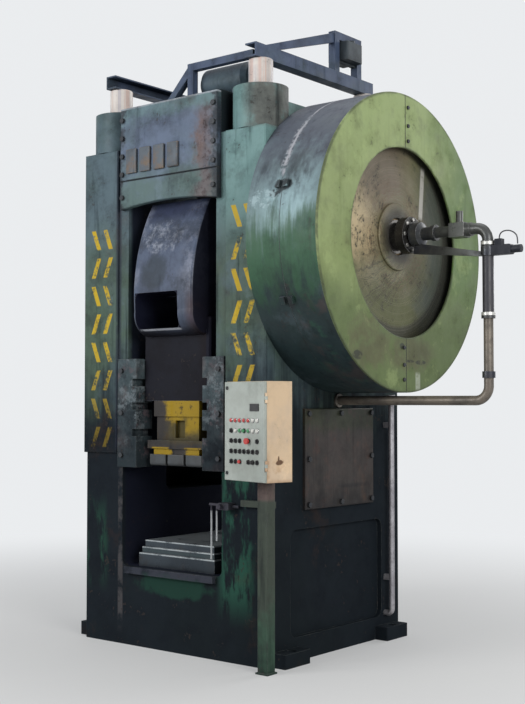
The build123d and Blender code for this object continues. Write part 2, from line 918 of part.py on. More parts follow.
def upper_die_holder():
    """The holder under the ram: a top plate, a waist, a clamping flange and the die's seat."""
    half = holder_width / 2
    front, back = -holder_front, holder_back
    flange_bottom = holder_bottom + holder_foot
    flange_top = flange_bottom + holder_flange
    reach = half + holder_flange_reach
    holder = block((-half, half), (front, back), (holder_waist_top, ram_bottom))
    holder += block((-half + 15, half - 15), (front + 15, back - 15), (flange_top, holder_waist_top))
    holder += block((-reach, reach), (front - 15, back), (flange_bottom, flange_top))
    holder += block((-half, half), (front, back), (holder_bottom, flange_bottom))
    holder += block((-half, half), (front + clamp_depth + 10, back - clamp_depth - 10),
                    (holder_bottom - holder_seat, holder_bottom))
    recess = RectangleRounded(86, 118, 8)
    recess = Pos(22, (flange_top + holder_waist_top) / 2 - 5) * recess
    return holder - prism_y(recess, front - 1, front + 45)


def die_clamps():
    """Rounded clamp blocks under the die holder, in a row along its front and its rear."""
    clamps = []
    for i in (-1, 0, 1):
        x = i * clamp_pitch
        for front in (-holder_front - 10, holder_back - clamp_depth):
            clamp = block((x - clamp_width / 2, x + clamp_width / 2), (front, front + clamp_depth),
                          (holder_bottom - clamp_height, holder_bottom))
            clamp = fillet(clamp.edges().filter_by(Axis.X).group_by(Axis.Z)[0], 22)
            clamps.append(chamfer(clamp.edges().filter_by(Axis.Z), 5))
    return group(clamps)


def flywheel():
    """The flywheel: a grooved rim, a web in front and a hub."""
    rim_in = flywheel_radius - flywheel_rim
    web = flywheel_outer_face - flywheel_web
    bore = flywheel_bore
    hub_back = flywheel_outer_face - flywheel_hub_length
    wheel = turned([
        (flywheel_inner_face, rim_in), (flywheel_inner_face, flywheel_radius),
        (flywheel_outer_face, flywheel_radius), (flywheel_outer_face, bore), (hub_back, bore),
        (hub_back, flywheel_hub), (web - 30, flywheel_hub + 20), (web, flywheel_hub + 60),
        (web, rim_in - 40), (web - 30, rim_in),
    ], 0, shaft_height)
    for x in belt_places():
        wheel -= tube_x(flywheel_radius + 1, flywheel_radius - groove_depth,
                        x - belt_width / 2 - belt_play, x + belt_width / 2 + belt_play,
                        0, shaft_height)
    return wheel


def belt_places():
    """The belts' middles along X."""
    return [belt_first + i * belt_pitch for i in range(belt_count)]


def vee_belts():
    """The belts, each a closed loop round the flywheel and the motor's pulley."""
    wheel = flywheel_radius - groove_depth + belt_play
    pulley = pulley_radius - groove_depth + belt_play
    loop = drum_hull(shaft_height, wheel + belt_height, pulley + belt_height)
    loop -= drum_hull(shaft_height, wheel, pulley)
    return group([prism_x(loop, x - belt_width / 2, x + belt_width / 2) for x in belt_places()])


def motor_rotor():
    """The motor's shaft end and the grooved pulley on it."""
    left = belt_places()[0] - belt_pitch / 2
    right = belt_places()[-1] + belt_pitch / 2
    shaft = bar_x(motor_shaft_radius, motor_right - motor_shield_length, right, motor_y, motor_z)
    pulley = tube_x(pulley_radius, motor_shaft_radius, left, right, motor_y, motor_z)
    for x in belt_places():
        pulley -= tube_x(pulley_radius + 1, pulley_radius - groove_depth,
                         x - belt_width / 2 - belt_play, x + belt_width / 2 + belt_play,
                         motor_y, motor_z)
    return group([shaft, pulley])


def motor():
    """The drive motor: finned body, end shields, feet and terminal box."""
    cap_end = motor_left + motor_cap_length
    shield = motor_right - motor_shield_length
    body = bar_x(motor_radius, cap_end - 1, shield + 1, motor_y, motor_z)
    fin = Pos(0, 0, motor_radius + motor_fin / 2 - 2)
    fin *= Box(shield - cap_end - 10, motor_fin_width, motor_fin + 4)
    for i in range(motor_fins):
        body += Pos((cap_end + shield) / 2, motor_y, motor_z) * Rot(360 * i / motor_fins, 0, 0) * fin
    edge = motor_shield_length / 2
    body += turned([(motor_left, 0), (motor_left, motor_radius - 30), (motor_left + edge, motor_radius),
                    (cap_end, motor_radius), (cap_end, 0)], motor_y, motor_z)
    body += turned([(shield, 0), (shield, motor_radius), (motor_right - edge, motor_radius),
                    (motor_right, motor_shield_nose), (motor_right, 0)], motor_y, motor_z)
    for place in motor_foot_places:
        x = motor_left + place
        foot_x = (x, x + motor_foot_length)
        body += block(foot_x, (motor_y - motor_foot_reach, motor_y + motor_foot_reach),
                      (motor_base, motor_base + bracket_thickness))
        web = motor_foot_reach - 50
        body += block(foot_x, (motor_y - web, motor_y + web), (motor_base, motor_z - motor_radius / 2))
    box_left = motor_left + terminal_box_left
    box_low = motor_z + motor_radius - 20
    body += block((box_left, box_left + terminal_box_length),
                  (motor_y - terminal_box_half, motor_y + terminal_box_half),
                  (box_low, box_low + 20 + terminal_box_height))
    return body - bar_x(motor_shaft_radius + running_clearance, shield, motor_right + 1,
                        motor_y, motor_z)


def motor_bracket():
    """The shelf behind the frame that carries the motor, with two gussets."""
    top, thick = motor_base, bracket_thickness
    left, right = motor_left + bracket_left_inset, motor_right - bracket_right_inset
    wall_left = pad_inner + 10
    back = motor_y + bracket_reach
    low = top - bracket_depth
    shelf = block((left, right), (half_depth + bracket_room, back), (top - thick, top))
    shelf += block((wall_left, right), (half_depth, half_depth + bracket_room + 1), (top - thick, top))
    wall = block((wall_left, right), (half_depth, half_depth + thick), (low, top - thick))
    front = half_depth + 10
    gusset = polygon((front, top - thick), (back - 20, top - thick), (back - 20, top - bracket_toe),
                     (front + 50, low + 10), (front, low + 10))
    plates = [prism_x(gusset, x, x + thick) for x in (wall_left, right - thick)]
    return shelf + wall + plates[0] + plates[1]


def belt_guard():
    """The sheet guard over the belts, from the drum to the motor."""
    wall = belt_guard_wall
    outer = drum_hull(guard_height, guard_radius - 5, belt_guard_nose)
    inner = drum_hull(guard_height, guard_radius - 5 - wall, belt_guard_nose - wall)
    guard = prism_x(outer, belt_guard_left, belt_guard_right)
    guard -= prism_x(inner, belt_guard_left + wall, belt_guard_right - wall)
    guard -= bar_x(guard_radius, half_width, guard_face, 0, guard_height)
    return guard - bar_x(belt_guard_bore, belt_guard_left - 1, belt_guard_left + wall + 1,
                         motor_y, motor_z)


def clutch_parts():
    """The driven disc on the shaft, the back plate on the flywheel and the piston between."""
    z = shaft_height
    disc = tube_x(clutch_disc_radius, shaft_end_radius, clutch_disc_face,
                  clutch_disc_face + clutch_disc_thickness, 0, z)
    hub_left = clutch_disc_face - clutch_hub_length / 2
    disc += tube_x(clutch_hub_radius, shaft_end_radius, hub_left, hub_left + clutch_hub_length, 0, z)
    plate = tube_x(flywheel_radius - flywheel_rim + clutch_plate_lap, clutch_bore,
                   flywheel_inner_face - clutch_plate_thickness, flywheel_inner_face, 0, z)
    piston_left = clutch_disc_face + clutch_disc_thickness + piston_travel + piston_play
    piston = tube_x(flywheel_radius - flywheel_rim - piston_play, piston_bore, piston_left,
                    piston_left + piston_thickness, 0, z)
    cover = tube_x(cover_disc_radius, shaft_end_radius + cover_disc_gap, flywheel_outer_face,
                   flywheel_outer_face + cover_disc_thickness, 0, z)
    cover = chamfer(cover.edges().group_by(Axis.X)[-1], 5)
    bush_left = flywheel_outer_face - flywheel_hub_length
    bush = tube_x(flywheel_bore, shaft_end_radius + running_clearance,
                  bush_left, flywheel_outer_face, 0, z)
    return disc, plate, piston, cover, bush


def brake_parts():
    """The brake disc on the shaft, its housing and the caliper over its edge."""
    z = shaft_height
    right = -brake_disc_face + brake_disc_thickness
    disc = tube_x(brake_disc_radius, shaft_end_radius, -brake_disc_face, right, 0, z)
    disc += tube_x(brake_hub_radius, shaft_end_radius, -brake_disc_face, -brake_disc_face
                   + brake_hub_length, 0, z)
    end = -half_width - brake_housing_length
    bore = brake_housing_radius - brake_housing_wall
    housing = bar_x(brake_housing_radius, end, -half_width, 0, z)
    housing = chamfer(housing.edges().group_by(Axis.X)[0], 12)
    housing -= bar_x(bore, end + brake_housing_wall, -half_width + 1, 0, z)
    housing += bar_x(brake_boss_radius, end - 30, end + 5, 0, z)
    top = z + bore - 1
    depth = caliper_depth
    caliper = block((-brake_disc_face - brake_gap - caliper_wall, right + brake_gap + caliper_wall),
                    (-caliper_width / 2, caliper_width / 2), (top - depth, top + 30))
    caliper &= bar_x(bore, end, -half_width, 0, z)
    caliper -= block((-brake_disc_face - brake_gap, right + brake_gap),
                     (-caliper_width, caliper_width), (top - depth - 1, z + brake_disc_radius + 8))
    return disc, housing, caliper


def top_beams():
    """Two channels along the crown, on the tie rods' caps."""
    low, high = beam_bottom, beam_top
    half = beam_width / 2
    span = (beam_front_inset - half_depth, half_depth - beam_back_inset)
    beams = []
    for side in (-1, 1):
        middle = side * rod_x
        beam = block((middle - half, middle + half), span, (low, high))
        inner = sorted((middle - side * (half + 1), middle + side * (half - beam_wall)))
        beam -= block(inner, (span[0] - 1, span[1] + 1), (low + beam_wall, high - beam_wall))
        beams.append(beam)
    return group(beams)


def top_frame():
    """The goal post with its sloping brace on the right beam, and the rail in front of the tank."""
    half = goal_post_size / 2
    posts = None
    for y in goal_post_places:
        post = block((rod_x - half, rod_x + half), (y - half, y + half), (beam_top, goal_post_top))
        posts = post if posts is None else posts + post
    first, last = goal_post_places
    posts += block((rod_x - half, rod_x + half), (first - half, last + half),
                   (goal_post_top - goal_post_size, goal_post_top))
    brace = polygon((-brace_front, beam_top), (-brace_front + brace_foot, beam_top),
                    (first, goal_post_top - 75), (first, goal_post_top - 5))
    posts += prism_x(brace, rod_x - 20, rod_x + 20)
    size = rail_size / 2
    high = beam_top - beam_wall - 5
    left = rod_x - beam_width / 2
    rail_y = rail_inset - half_depth
    rail = block((rail_post - size, rail_post + size), (rail_y - size, rail_y + size),
                 (crown_height, high))
    rail += block((rail_post, left), (rail_y - size, rail_y + size), (high - rail_size, high))
    stay = polygon((rail_post - 260, crown_height), (rail_post - 200, crown_height),
                   (rail_post, high - 70), (rail_post, high))
    rail += prism_y(stay, rail_y - size, rail_y + size)
    return group([posts, rail])


def lube_tank():
    """The lubricant tank between the posts on the right beam, on its bar."""
    half = lube_tank_size / 2
    low = beam_top + lube_tank_stand
    high = low + lube_tank_height
    first, last = goal_post_places
    inner = goal_post_size / 2
    tank = block((rod_x - half, rod_x + half), (first + inner + 15, last - inner - 15),
                 (low, high))
    tank = fillet(tank.edges().filter_by(Axis.Z), 12)
    neck_x = rod_x + goal_post_size / 2 + 28
    tank += bar_z(22, high, high + 18, neck_x, (first + last) / 2)
    tank += block((rod_x - 15, rod_x + 15), (first + inner, last - inner),
                  (low - 12, low))
    return tank


def air_tank():
    """The air receiver on two saddles."""
    z = crown_height + tank_radius + tank_stand
    right, dome = tank_left + tank_length, tank_dome
    points = [(tank_left, 0), (tank_left, 30), (tank_left + dome / 3, tank_radius * 0.75),
              (tank_left + dome, tank_radius), (right - dome, tank_radius),
              (right - dome / 3, tank_radius * 0.75), (right, 30), (right, 0)]
    tank = turned(points, tank_y, z)
    for x in (tank_left + saddle_inset, right - saddle_inset - saddle_width):
        tank += block((x, x + saddle_width), (tank_y - 90, tank_y + 90), (crown_height, z - 40))
    return tank


def union_parts():
    """The spindle on the shaft's end and the body of the rotary union on it."""
    z = shaft_height
    spindle = turned([
        (shaft_end_right, 0), (shaft_end_right, neck_radius), (flange_left, neck_radius - 8),
        (flange_left, flange_radius), (flange_right, flange_radius), (flange_right, spindle_radius),
        (spindle_end, spindle_radius), (spindle_end, 0),
    ], 0, z)
    head = union_left + union_head
    collar = union_right - union_head / 2
    body = turned([
        (union_left, 0), (union_left, union_radius), (head, union_radius), (head + 12, union_neck),
        (collar, union_neck), (collar, union_neck + 8), (union_right, union_neck + 8),
        (union_right, 0),
    ], 0, z)
    return spindle, body - bar_x(spindle_radius + running_clearance, union_left - 1,
                                 spindle_end + 1, 0, z)


def air_fittings():
    """Nipple, swivel block with its port, elbow, the union's stay, hose clamps and the pipe's collar."""
    z = shaft_height
    half = swivel_size / 2
    feed = bar_x(nipple_radius, union_right, swivel_left + 5, 0, z)
    feed += block((swivel_left, swivel_right), (-half, half), (z - half, z + half))
    feed += bar_z(port_radius, z + half - 1, z + half + port_height, (swivel_left + swivel_right) / 2, 0)
    feed += bar_x(line_radius + line_nut, swivel_right - 1, swivel_right + line_nut_length, 0, z)
    path = FilletPolyline((swivel_right, 0, z), (line_x, 0, z), (line_x, 0, hose_top), radius=elbow_bend)
    section = Plane(origin=(swivel_right, 0, z), z_dir=(1, 0, 0)) * Circle(line_radius)
    feed += sweep(section, path=path)
    feed += bar_z(hose_collar_radius, hose_top, hose_top + hose_collar_height, line_x, 0)

    clamp = Pos(line_x, 0) * (Circle(hose_collar_radius) - Circle(line_radius))
    clamp = prism_z(clamp, valve_z - valve_height / 2, valve_z + valve_height / 2 - 2)
    seat = z - union_radius + 12
    inner = line_x - hose_collar_radius + 5
    stay = polygon((union_left + 8, seat), (union_left + union_head, seat), (inner, valve_z),
                   (inner, valve_z - valve_height / 2), (union_left + 8, seat - 60))
    stay = prism_y(stay, -stay_width / 2, stay_width / 2)
    stay -= bar_x(union_radius, union_left - 1, union_left + union_head + 12, 0, z)
    clamp += stay

    coupling = Pos(line_x, 0) * (Circle(coupling_radius) - Circle(pipe_radius))
    coupling = prism_z(coupling, hose_bottom - coupling_height, hose_bottom)
    collar = Pos(line_x, 0) * (Circle(collar_radius) - Circle(pipe_radius))
    low = return_height + collar_rise
    collar = prism_z(collar, low, low + collar_height)
    return group([feed, clamp, coupling, collar])


def air_hose():
    """The straight hose between the elbow and the pipe."""
    ring = Circle(line_radius) - Circle(line_radius - 2 * line_wall)
    return Pos(line_x, 0, 0) * prism_z(ring, hose_bottom, hose_top)


def air_pipe():
    """The pipe down from the hose and back under the guard to the frame, with its wall flange."""
    top = hose_bottom
    path = FilletPolyline((line_x, 0, top), (line_x, 0, return_height), (half_width, 0, return_height),
                          radius=pipe_bend)
    section = Plane(origin=(line_x, 0, top), z_dir=(0, 0, -1)) * Circle(pipe_radius)
    pipe = sweep(section, path=path)
    flange = bar_x(pipe_flange_radius, half_width, half_width + pipe_flange_thickness,
                   0, return_height)
    return pipe + flange


def solenoid_valve():
    """The valve behind the hose's upper clamp, with its coil and connector."""
    left = line_x + line_radius - 10
    right = left + valve_length
    low, high = valve_z - valve_height / 2, valve_z + valve_height / 2
    body = block((left, right - 60), (-valve_width / 2, valve_width / 2), (low, high))
    body = chamfer(body.edges().filter_by(Axis.Y), 8)
    body += bar_x(valve_width / 2 - 4, right - 65, right, 0, valve_z)
    body += block((left + 30, left + 75), (6 - valve_width / 2, valve_width / 2 - 6), (high - 1, high + 38))
    return body - bar_z(hose_collar_radius, low - 1, high + 60, line_x, 0)


def side_covers():
    """Plates over the side windows, one on each column."""
    plate = block((half_width, half_width + side_cover_thickness),
                  (-side_cover_width / 2, side_cover_width / 2), (side_cover_bottom, side_cover_top))
    plate = chamfer(plate.edges().group_by(Axis.X)[-1], 6)
    for y, z in side_bolt_places():
        plate -= bar_x(bolt_radius + bolt_clearance, half_width - 1,
                       half_width + side_cover_thickness + 1, y, z)
    return group(mirrored_x(plate))


def oil_pipe():
    """The upright pipe beside the right column, with its top collar and clamps."""
    x = half_width + oil_pipe_stand
    path = FilletPolyline((x, oil_pipe_y, oil_pipe_top), (x, oil_pipe_y, oil_pipe_bottom),
                          (half_width, oil_pipe_y, oil_pipe_bottom), radius=oil_pipe_bend)
    section = Plane(origin=(x, oil_pipe_y, oil_pipe_top), z_dir=(0, 0, -1)) * Circle(oil_pipe_radius)
    pipe = sweep(section, path=path)
    pipe += bar_z(oil_pipe_radius + oil_collar_wall, oil_pipe_top - oil_collar_height, oil_pipe_top,
                  x, oil_pipe_y)
    for z in oil_clamp_places:
        pipe += block((half_width, x + 5), (oil_pipe_y - 14, oil_pipe_y + 14), (z - 20, z + 20))
    return pipe


def box_place():
    """Where the operator's box stands."""
    return Pos(box_x, box_y, box_bottom) * Rot(0, 0, box_turn)


def control_box():
    """The box's shell, open in front, with its hinge knuckles and pins."""
    half = box_width / 2
    shell = block((-half, half), (door_back + door_gap, box_depth / 2), (0, box_height))
    shell -= block((-half + box_sheet, half - box_sheet), (door_back, box_depth / 2 - box_sheet),
                   (box_sheet, box_height - box_sheet))
    pins = []
    for place in hinge_places:
        for low, high in ((-hinge_half, -knuckle_half - door_gap), (knuckle_half + door_gap, hinge_half)):
            knuckle = bar_z(hinge_radius, place + low, place + high, hinge_x, hinge_y)
            knuckle += block((half - 1, hinge_x), (hinge_y, door_back + 12), (place + low, place + high))
            shell += knuckle - bar_z(hinge_pin_radius, place - 50, place + 50, hinge_x, hinge_y)
        pins.append(bar_z(hinge_pin_radius, place - hinge_half, place + hinge_half, hinge_x, hinge_y))
    return box_place() * group([shell] + pins)


def control_spots():
    """Every control's name and place (x, z) on the door, row by row from the top."""
    rows = (
        ("red red red red red white white", control_rows_z[0]),
        ("black white green start green white white", control_rows_z[1]),
        ("black black black none emergency none black", control_rows_z[2]),
        ("black black black black black black black", control_rows_z[3]),
        ("black black stop none black selector black", control_rows_z[4]),
    )
    spots = []
    for names, z in rows:
        for i, name in enumerate(names.split()):
            if name != "none":
                spots.append((name, control_first_x + i * control_pitch_x, z))
    return spots


moving_controls = ("start", "stop", "emergency", "selector")


def control_door():
    """The door: a shallow tray with holes for the controls, and its hinge knuckles."""
    half = box_width / 2 - door_inset
    top = box_height - door_inset
    door = block((-half, half), (door_front, door_back), (door_inset, top))
    door = chamfer(door.edges().group_by(Axis.Y)[0], 3)
    door -= block((-half + box_sheet, half - box_sheet), (door_front + box_sheet, door_back + 1),
                  (door_inset + box_sheet, top - box_sheet))
    for place in hinge_places:
        low, high = place - knuckle_half, place + knuckle_half
        knuckle = bar_z(hinge_radius, low, high, hinge_x, hinge_y)
        knuckle += block((half - 1, hinge_x), (door_front + 4, hinge_y), (low, high))
        door += knuckle - bar_z(hinge_pin_radius + running_clearance, low - 1, high + 1, hinge_x, hinge_y)
    for name, x, z in control_spots():
        if name in moving_controls:
            door -= bar_y(button_radius + running_clearance, door_front - 1, door_front + 10, x, z)
    for z in lock_places:
        door -= bar_y(lock_radius + running_clearance, door_front - 1, door_front + 10, lock_x, z)
    return box_place() * door


def black_controls():
    """The display, the bezels and contact blocks, and the black controls that stay fixed."""
    pieces = [block((display_x - display_width / 2, display_x + display_width / 2),
                    (door_front - 6, door_front),
                    (display_z - display_height / 2, display_z + display_height / 2))]
    for name, x, z in control_spots():
        if name in moving_controls:
            bezel = bar_y(bezel_radius, door_front - bezel_height, door_front, x, z)
            hole = bar_y(button_radius + running_clearance, door_front - 20, door_front + 1, x, z)
            pieces.append(bezel - hole)
            inner = door_front + box_sheet
            pieces.append(bar_y(contact_radius, inner, inner + contact_depth, x, z))
        if name == "black":
            knob = bar_y(bezel_radius, door_front - bezel_height, door_front, x, z)
            knob += block((x - 4, x + 4), (door_front - 15, door_front - bezel_height + 1),
                          (z - button_radius, z + button_radius))
            pieces.append(knob)
    return box_place() * group(pieces)


def door_lamps():
    """Round lamps with domed lenses and the illuminated push buttons that stay fixed."""
    lamps = []
    for name, x, z in control_spots():
        if name in ("red", "white", "green"):
            lamp = bar_y(bezel_radius - 1, door_front - 4, door_front, x, z)
            lamp += bar_y(button_radius, door_front - 10, door_front - 4, x, z)
            lamps.append(lamp)
    return box_place() * group(lamps)


def moving_control(wanted):
    """One button or selector in its bezel."""
    (x, z), = [(x, z) for name, x, z in control_spots() if name == wanted]
    inner = door_front + box_sheet - button_travel - door_gap
    cap_front = door_front - bezel_height - button_height
    cap = bar_y(button_radius, cap_front, inner, x, z)
    if wanted == "emergency":
        cap += bar_y(mushroom_radius, cap_front - 12, cap_front, x, z)
    if wanted == "selector":
        cap += block((x - 4, x + 4), (cap_front - 8, cap_front), (z - button_radius, z + button_radius - 2))
    return box_place() * cap


def door_lock(z):
    """A quarter-turn lock through the door."""
    head = bar_y(lock_head, door_front - 6, door_front, lock_x, z)
    head -= block((lock_x - 8, lock_x + 8), (door_front - 7, door_front - 3), (z - 2, z + 2))
    shank = bar_y(lock_radius, door_front, door_front + box_sheet + 4, lock_x, z)
    cam_front = door_front + box_sheet + door_gap
    cam = block((lock_x - 7, lock_x + 7), (cam_front, cam_front + 4), (z - 7, z + 24))
    return box_place() * (head + shank + cam)


def box_post():
    """The square post with its foot and head plates, and the arm to the column."""
    half = post_size / 2
    post = block((post_x - half, post_x + half), (post_y - half, post_y + half), (0, box_bottom))
    inner = half - post_wall
    arm_z = (arm_bottom, arm_bottom + arm_height)
    post += block((arm_left, post_x), (-half_depth - arm_height, -half_depth), arm_z)
    post += block((post_x - half, post_x), (post_y, -half_depth), arm_z)
    plate = post_plate / 2
    post += block((post_x - plate, post_x + plate), (post_y - plate, post_y + plate),
                  (0, post_plate_thickness))
    post += block((post_x - plate, post_x + plate), (post_y - plate, post_y + half),
                  (box_bottom - post_plate_thickness, box_bottom))
    post -= block((post_x - inner, post_x + inner), (post_y - inner, post_y + inner),
                  (post_plate_thickness, box_bottom - post_plate_thickness))
    return post


def spray_valve():
    """The spray valve on the column, with its handle and two thin pipes."""
    front = -half_depth - spray_body
    half, high = spray_length / 2, spray_height / 2
    line_y = -half_depth - spray_pipe_stand
    body = block((spray_x - half, spray_x + half), (front, -half_depth), (spray_z - high, spray_z + high))
    body = chamfer(body.edges().filter_by(Axis.Y), 6)
    body += bar_y(16, front - 30, front + 1, spray_x - 15, spray_z)
    reach = max(place for place, drop in spray_pipes) + 15
    body += bar_x(spray_pipe_radius + 3, spray_x - reach, spray_x - half + 5, line_y, spray_z + 5)
    body += bar_x(spray_pipe_radius + 4, spray_x + half - 5, spray_x + half + 50, line_y, spray_z)
    for place, drop in spray_pipes:
        body += bar_z(spray_pipe_radius, spray_z - drop, spray_z + 5, spray_x - place, line_y)
    return body


def build():
    """Every node and its solids."""
    upper_cover, lower_cover = crown_covers()
    drum, shell, ring = flywheel_guard()
    pitman, pitman_cap, pitman_bolts = pitman_parts()
    clutch_disc, clutch_plate, piston, clutch_cover, flywheel_bush = clutch_parts()
    brake_disc, brake_housing, brake_caliper = brake_parts()
    spindle, union_body = union_parts()
    half = half_window - gib_thickness - gib_gap
    ejector = bar_z(ejector_radius, ejector_bottom, bolster_top, 0, 0)
    return {
        "press_frame": press_frame(),
        "crown_cover_upper": upper_cover,
        "crown_cover_lower": lower_cover,
        "frame_bolts": frame_bolts(),
        "tie_rods": tie_rods(),
        "tie_rod_nuts": tie_rod_nuts(),
        "tie_rod_caps": tie_rod_caps(),
        "ram_gibs": ram_gibs(),
        "bolster": bolster(),
        "guard_drum": drum,
        "guard_shell": shell,
        "guard_ring": ring,
        "guard_lugs": guard_lugs(),
        "shaft_bushes": shaft_bushes(),
        "brake_housing": group([brake_housing, brake_caliper]),
        "motor": motor(),
        "motor_bracket": motor_bracket(),
        "belt_guard": belt_guard(),
        "vee_belts": vee_belts(),
        "top_beams": top_beams(),
        "top_frame": top_frame(),
        "lube_tank": lube_tank(),
        "air_tank": air_tank(),
        "rotary_union": union_body,
        "air_fittings": air_fittings(),
        "solenoid_valve": solenoid_valve(),
        "air_hose": air_hose(),
        "air_pipe": air_pipe(),
        "side_covers": side_covers(),
        "oil_pipe": oil_pipe(),
        "control_box": control_box(),
        "box_post": box_post(),
        "spray_valve": spray_valve(),
        "eccentric_shaft": eccentric_shaft(),
        "clutch_disc": clutch_disc,
        "brake_disc": brake_disc,
        "union_spindle": spindle,
        "flywheel": flywheel(),
        "flywheel_bush": flywheel_bush,
        "clutch_plate": clutch_plate,
        "clutch_cover": clutch_cover,
        "clutch_piston": piston,
        "motor_rotor": motor_rotor(),
        "pitman": pitman,
        "pitman_cap": pitman_cap,
        "pitman_bolts": pitman_bolts,
        "ram": ram(),
        "wrist_pin": bar_x(pin_radius, -half, half, 0, pin_height),
        "upper_die_holder": upper_die_holder(),
        "die_clamps": die_clamps(),
        "ejector_pin": ejector,
        "control_door": control_door(),
        "black_controls": black_controls(),
        "door_lamps": door_lamps(),
        "emergency_stop": moving_control("emergency"),
        "start_button": moving_control("start"),
        "stop_button": moving_control("stop"),
        "mode_selector": moving_control("selector"),
        "lower_lock": door_lock(lock_places[0]),
        "upper_lock": door_lock(lock_places[1]),
    }


os.makedirs("parts", exist_ok=True)
for node, shape in build().items():
    export_step(group([shape]), f"parts/{node}.step")
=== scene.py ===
import json
import math

import bmesh
import bpy
from mathutils import Matrix, Vector


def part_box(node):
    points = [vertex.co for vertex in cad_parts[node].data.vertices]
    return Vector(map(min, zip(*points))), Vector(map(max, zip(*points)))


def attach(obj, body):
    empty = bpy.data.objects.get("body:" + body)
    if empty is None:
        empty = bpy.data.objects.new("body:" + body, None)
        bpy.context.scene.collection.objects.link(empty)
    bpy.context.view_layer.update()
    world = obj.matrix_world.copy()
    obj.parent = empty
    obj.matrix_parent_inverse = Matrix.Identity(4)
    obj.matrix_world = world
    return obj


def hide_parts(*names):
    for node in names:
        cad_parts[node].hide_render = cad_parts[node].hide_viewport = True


# The looks of a hot forging press: paint and metal for the CAD nodes, small pieces, lamps and camera

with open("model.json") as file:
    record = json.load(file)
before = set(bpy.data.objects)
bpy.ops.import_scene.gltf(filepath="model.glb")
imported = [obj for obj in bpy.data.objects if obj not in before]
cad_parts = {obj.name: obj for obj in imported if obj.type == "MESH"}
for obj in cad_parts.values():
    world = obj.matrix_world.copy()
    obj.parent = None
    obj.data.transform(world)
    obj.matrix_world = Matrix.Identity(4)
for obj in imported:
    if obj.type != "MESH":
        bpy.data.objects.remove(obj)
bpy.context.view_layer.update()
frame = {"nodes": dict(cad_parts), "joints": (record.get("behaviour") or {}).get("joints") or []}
nodes = frame["nodes"]


# Places from the frame that the marks and the scene's own pieces share

def joint(name):
    """What the record says of one joint."""
    return next(row for row in frame["joints"] if row["name"] == name)


SHAFT_HEIGHT = joint("crank_turn")["pos_m"][2]
COVER_LOW, COVER_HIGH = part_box("crown_cover_upper")
COLUMN_FACE = COVER_HIGH.y
PAD_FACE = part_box("ram_gibs")[0].y
BED_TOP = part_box("bolster")[0].z
BOLSTER_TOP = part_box("bolster")[1].z
CAP_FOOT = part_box("tie_rod_caps")[0].z
POST_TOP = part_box("box_post")[1].z
BOX_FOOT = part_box("control_box")[0].z
HOLDER_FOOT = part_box("upper_die_holder")[0].z
HOSE_FOOT, HOSE_TOP = [corner.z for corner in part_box("air_hose")]
RING_LOW, RING_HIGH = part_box("guard_ring")
GUARD_HEIGHT = (RING_LOW.z + RING_HIGH.z) / 2
GUARD_RADIUS = (RING_HIGH.z - RING_LOW.z) / 2
GUARD_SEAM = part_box("guard_drum")[1].x

# The hollow in the ram's nose and the nose's right side
RAM_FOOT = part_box("ram")[0].z
HOLLOW_LEFT, HOLLOW_RIGHT = -0.245, 0.140
HOLLOW_LOW, HOLLOW_HIGH = RAM_FOOT + 0.480, RAM_FOOT + 0.720
NOSE_SIDE = 0.265

# The operator's door, from its hinge and the way that its buttons are pushed
pushed = joint("start_push")["axis"]
DOOR = (Matrix.Translation(joint("door_hinge")["pos_m"])
        @ Matrix.Rotation(-math.atan2(pushed[0], pushed[1]), 4, "Z"))


# Shader helpers

class Nodes:
    """Adds shader nodes to one node tree. A value is a number, a colour or another node's output."""

    def __init__(self, tree):
        self.tree = tree

    def add(self, kind, **settings):
        """One new node with the settings given."""
        node = self.tree.nodes.new(kind)
        for key, value in settings.items():
            setattr(node, key, value)
        return node

    def put(self, value, socket):
        """Links an output to the socket, or sets a plain value on it."""
        if isinstance(value, bpy.types.NodeSocket):
            self.tree.links.new(value, socket)
        elif isinstance(value, (tuple, list)) and len(value) == 3 and len(socket.default_value) == 4:
            socket.default_value = (*value, 1)
        else:
            socket.default_value = value

    def math(self, kind, a, b=0.0, c=0.0, clamp=False):
        """One math node of the kind given."""
        node = self.add("ShaderNodeMath", operation=kind, use_clamp=clamp)
        for value, socket in zip((a, b, c), node.inputs):
            self.put(value, socket)
        return node.outputs[0]

    def either(self, *masks):
        """The strongest of the masks."""
        result = masks[0]
        for mask in masks[1:]:
            result = self.math("MAXIMUM", result, mask)
        return result

    def both(self, *masks):
        """Where all the masks meet."""
        result = masks[0]
        for mask in masks[1:]:
            result = self.math("MULTIPLY", result, mask)
        return result

    def background_rays(self):
        """1 for what the camera, gloss and glass see, 0 for the light that falls on things."""
        rays = self.add("ShaderNodeLightPath").outputs
        return self.either(rays["Is Camera Ray"], rays["Is Glossy Ray"], rays["Is Transmission Ray"])


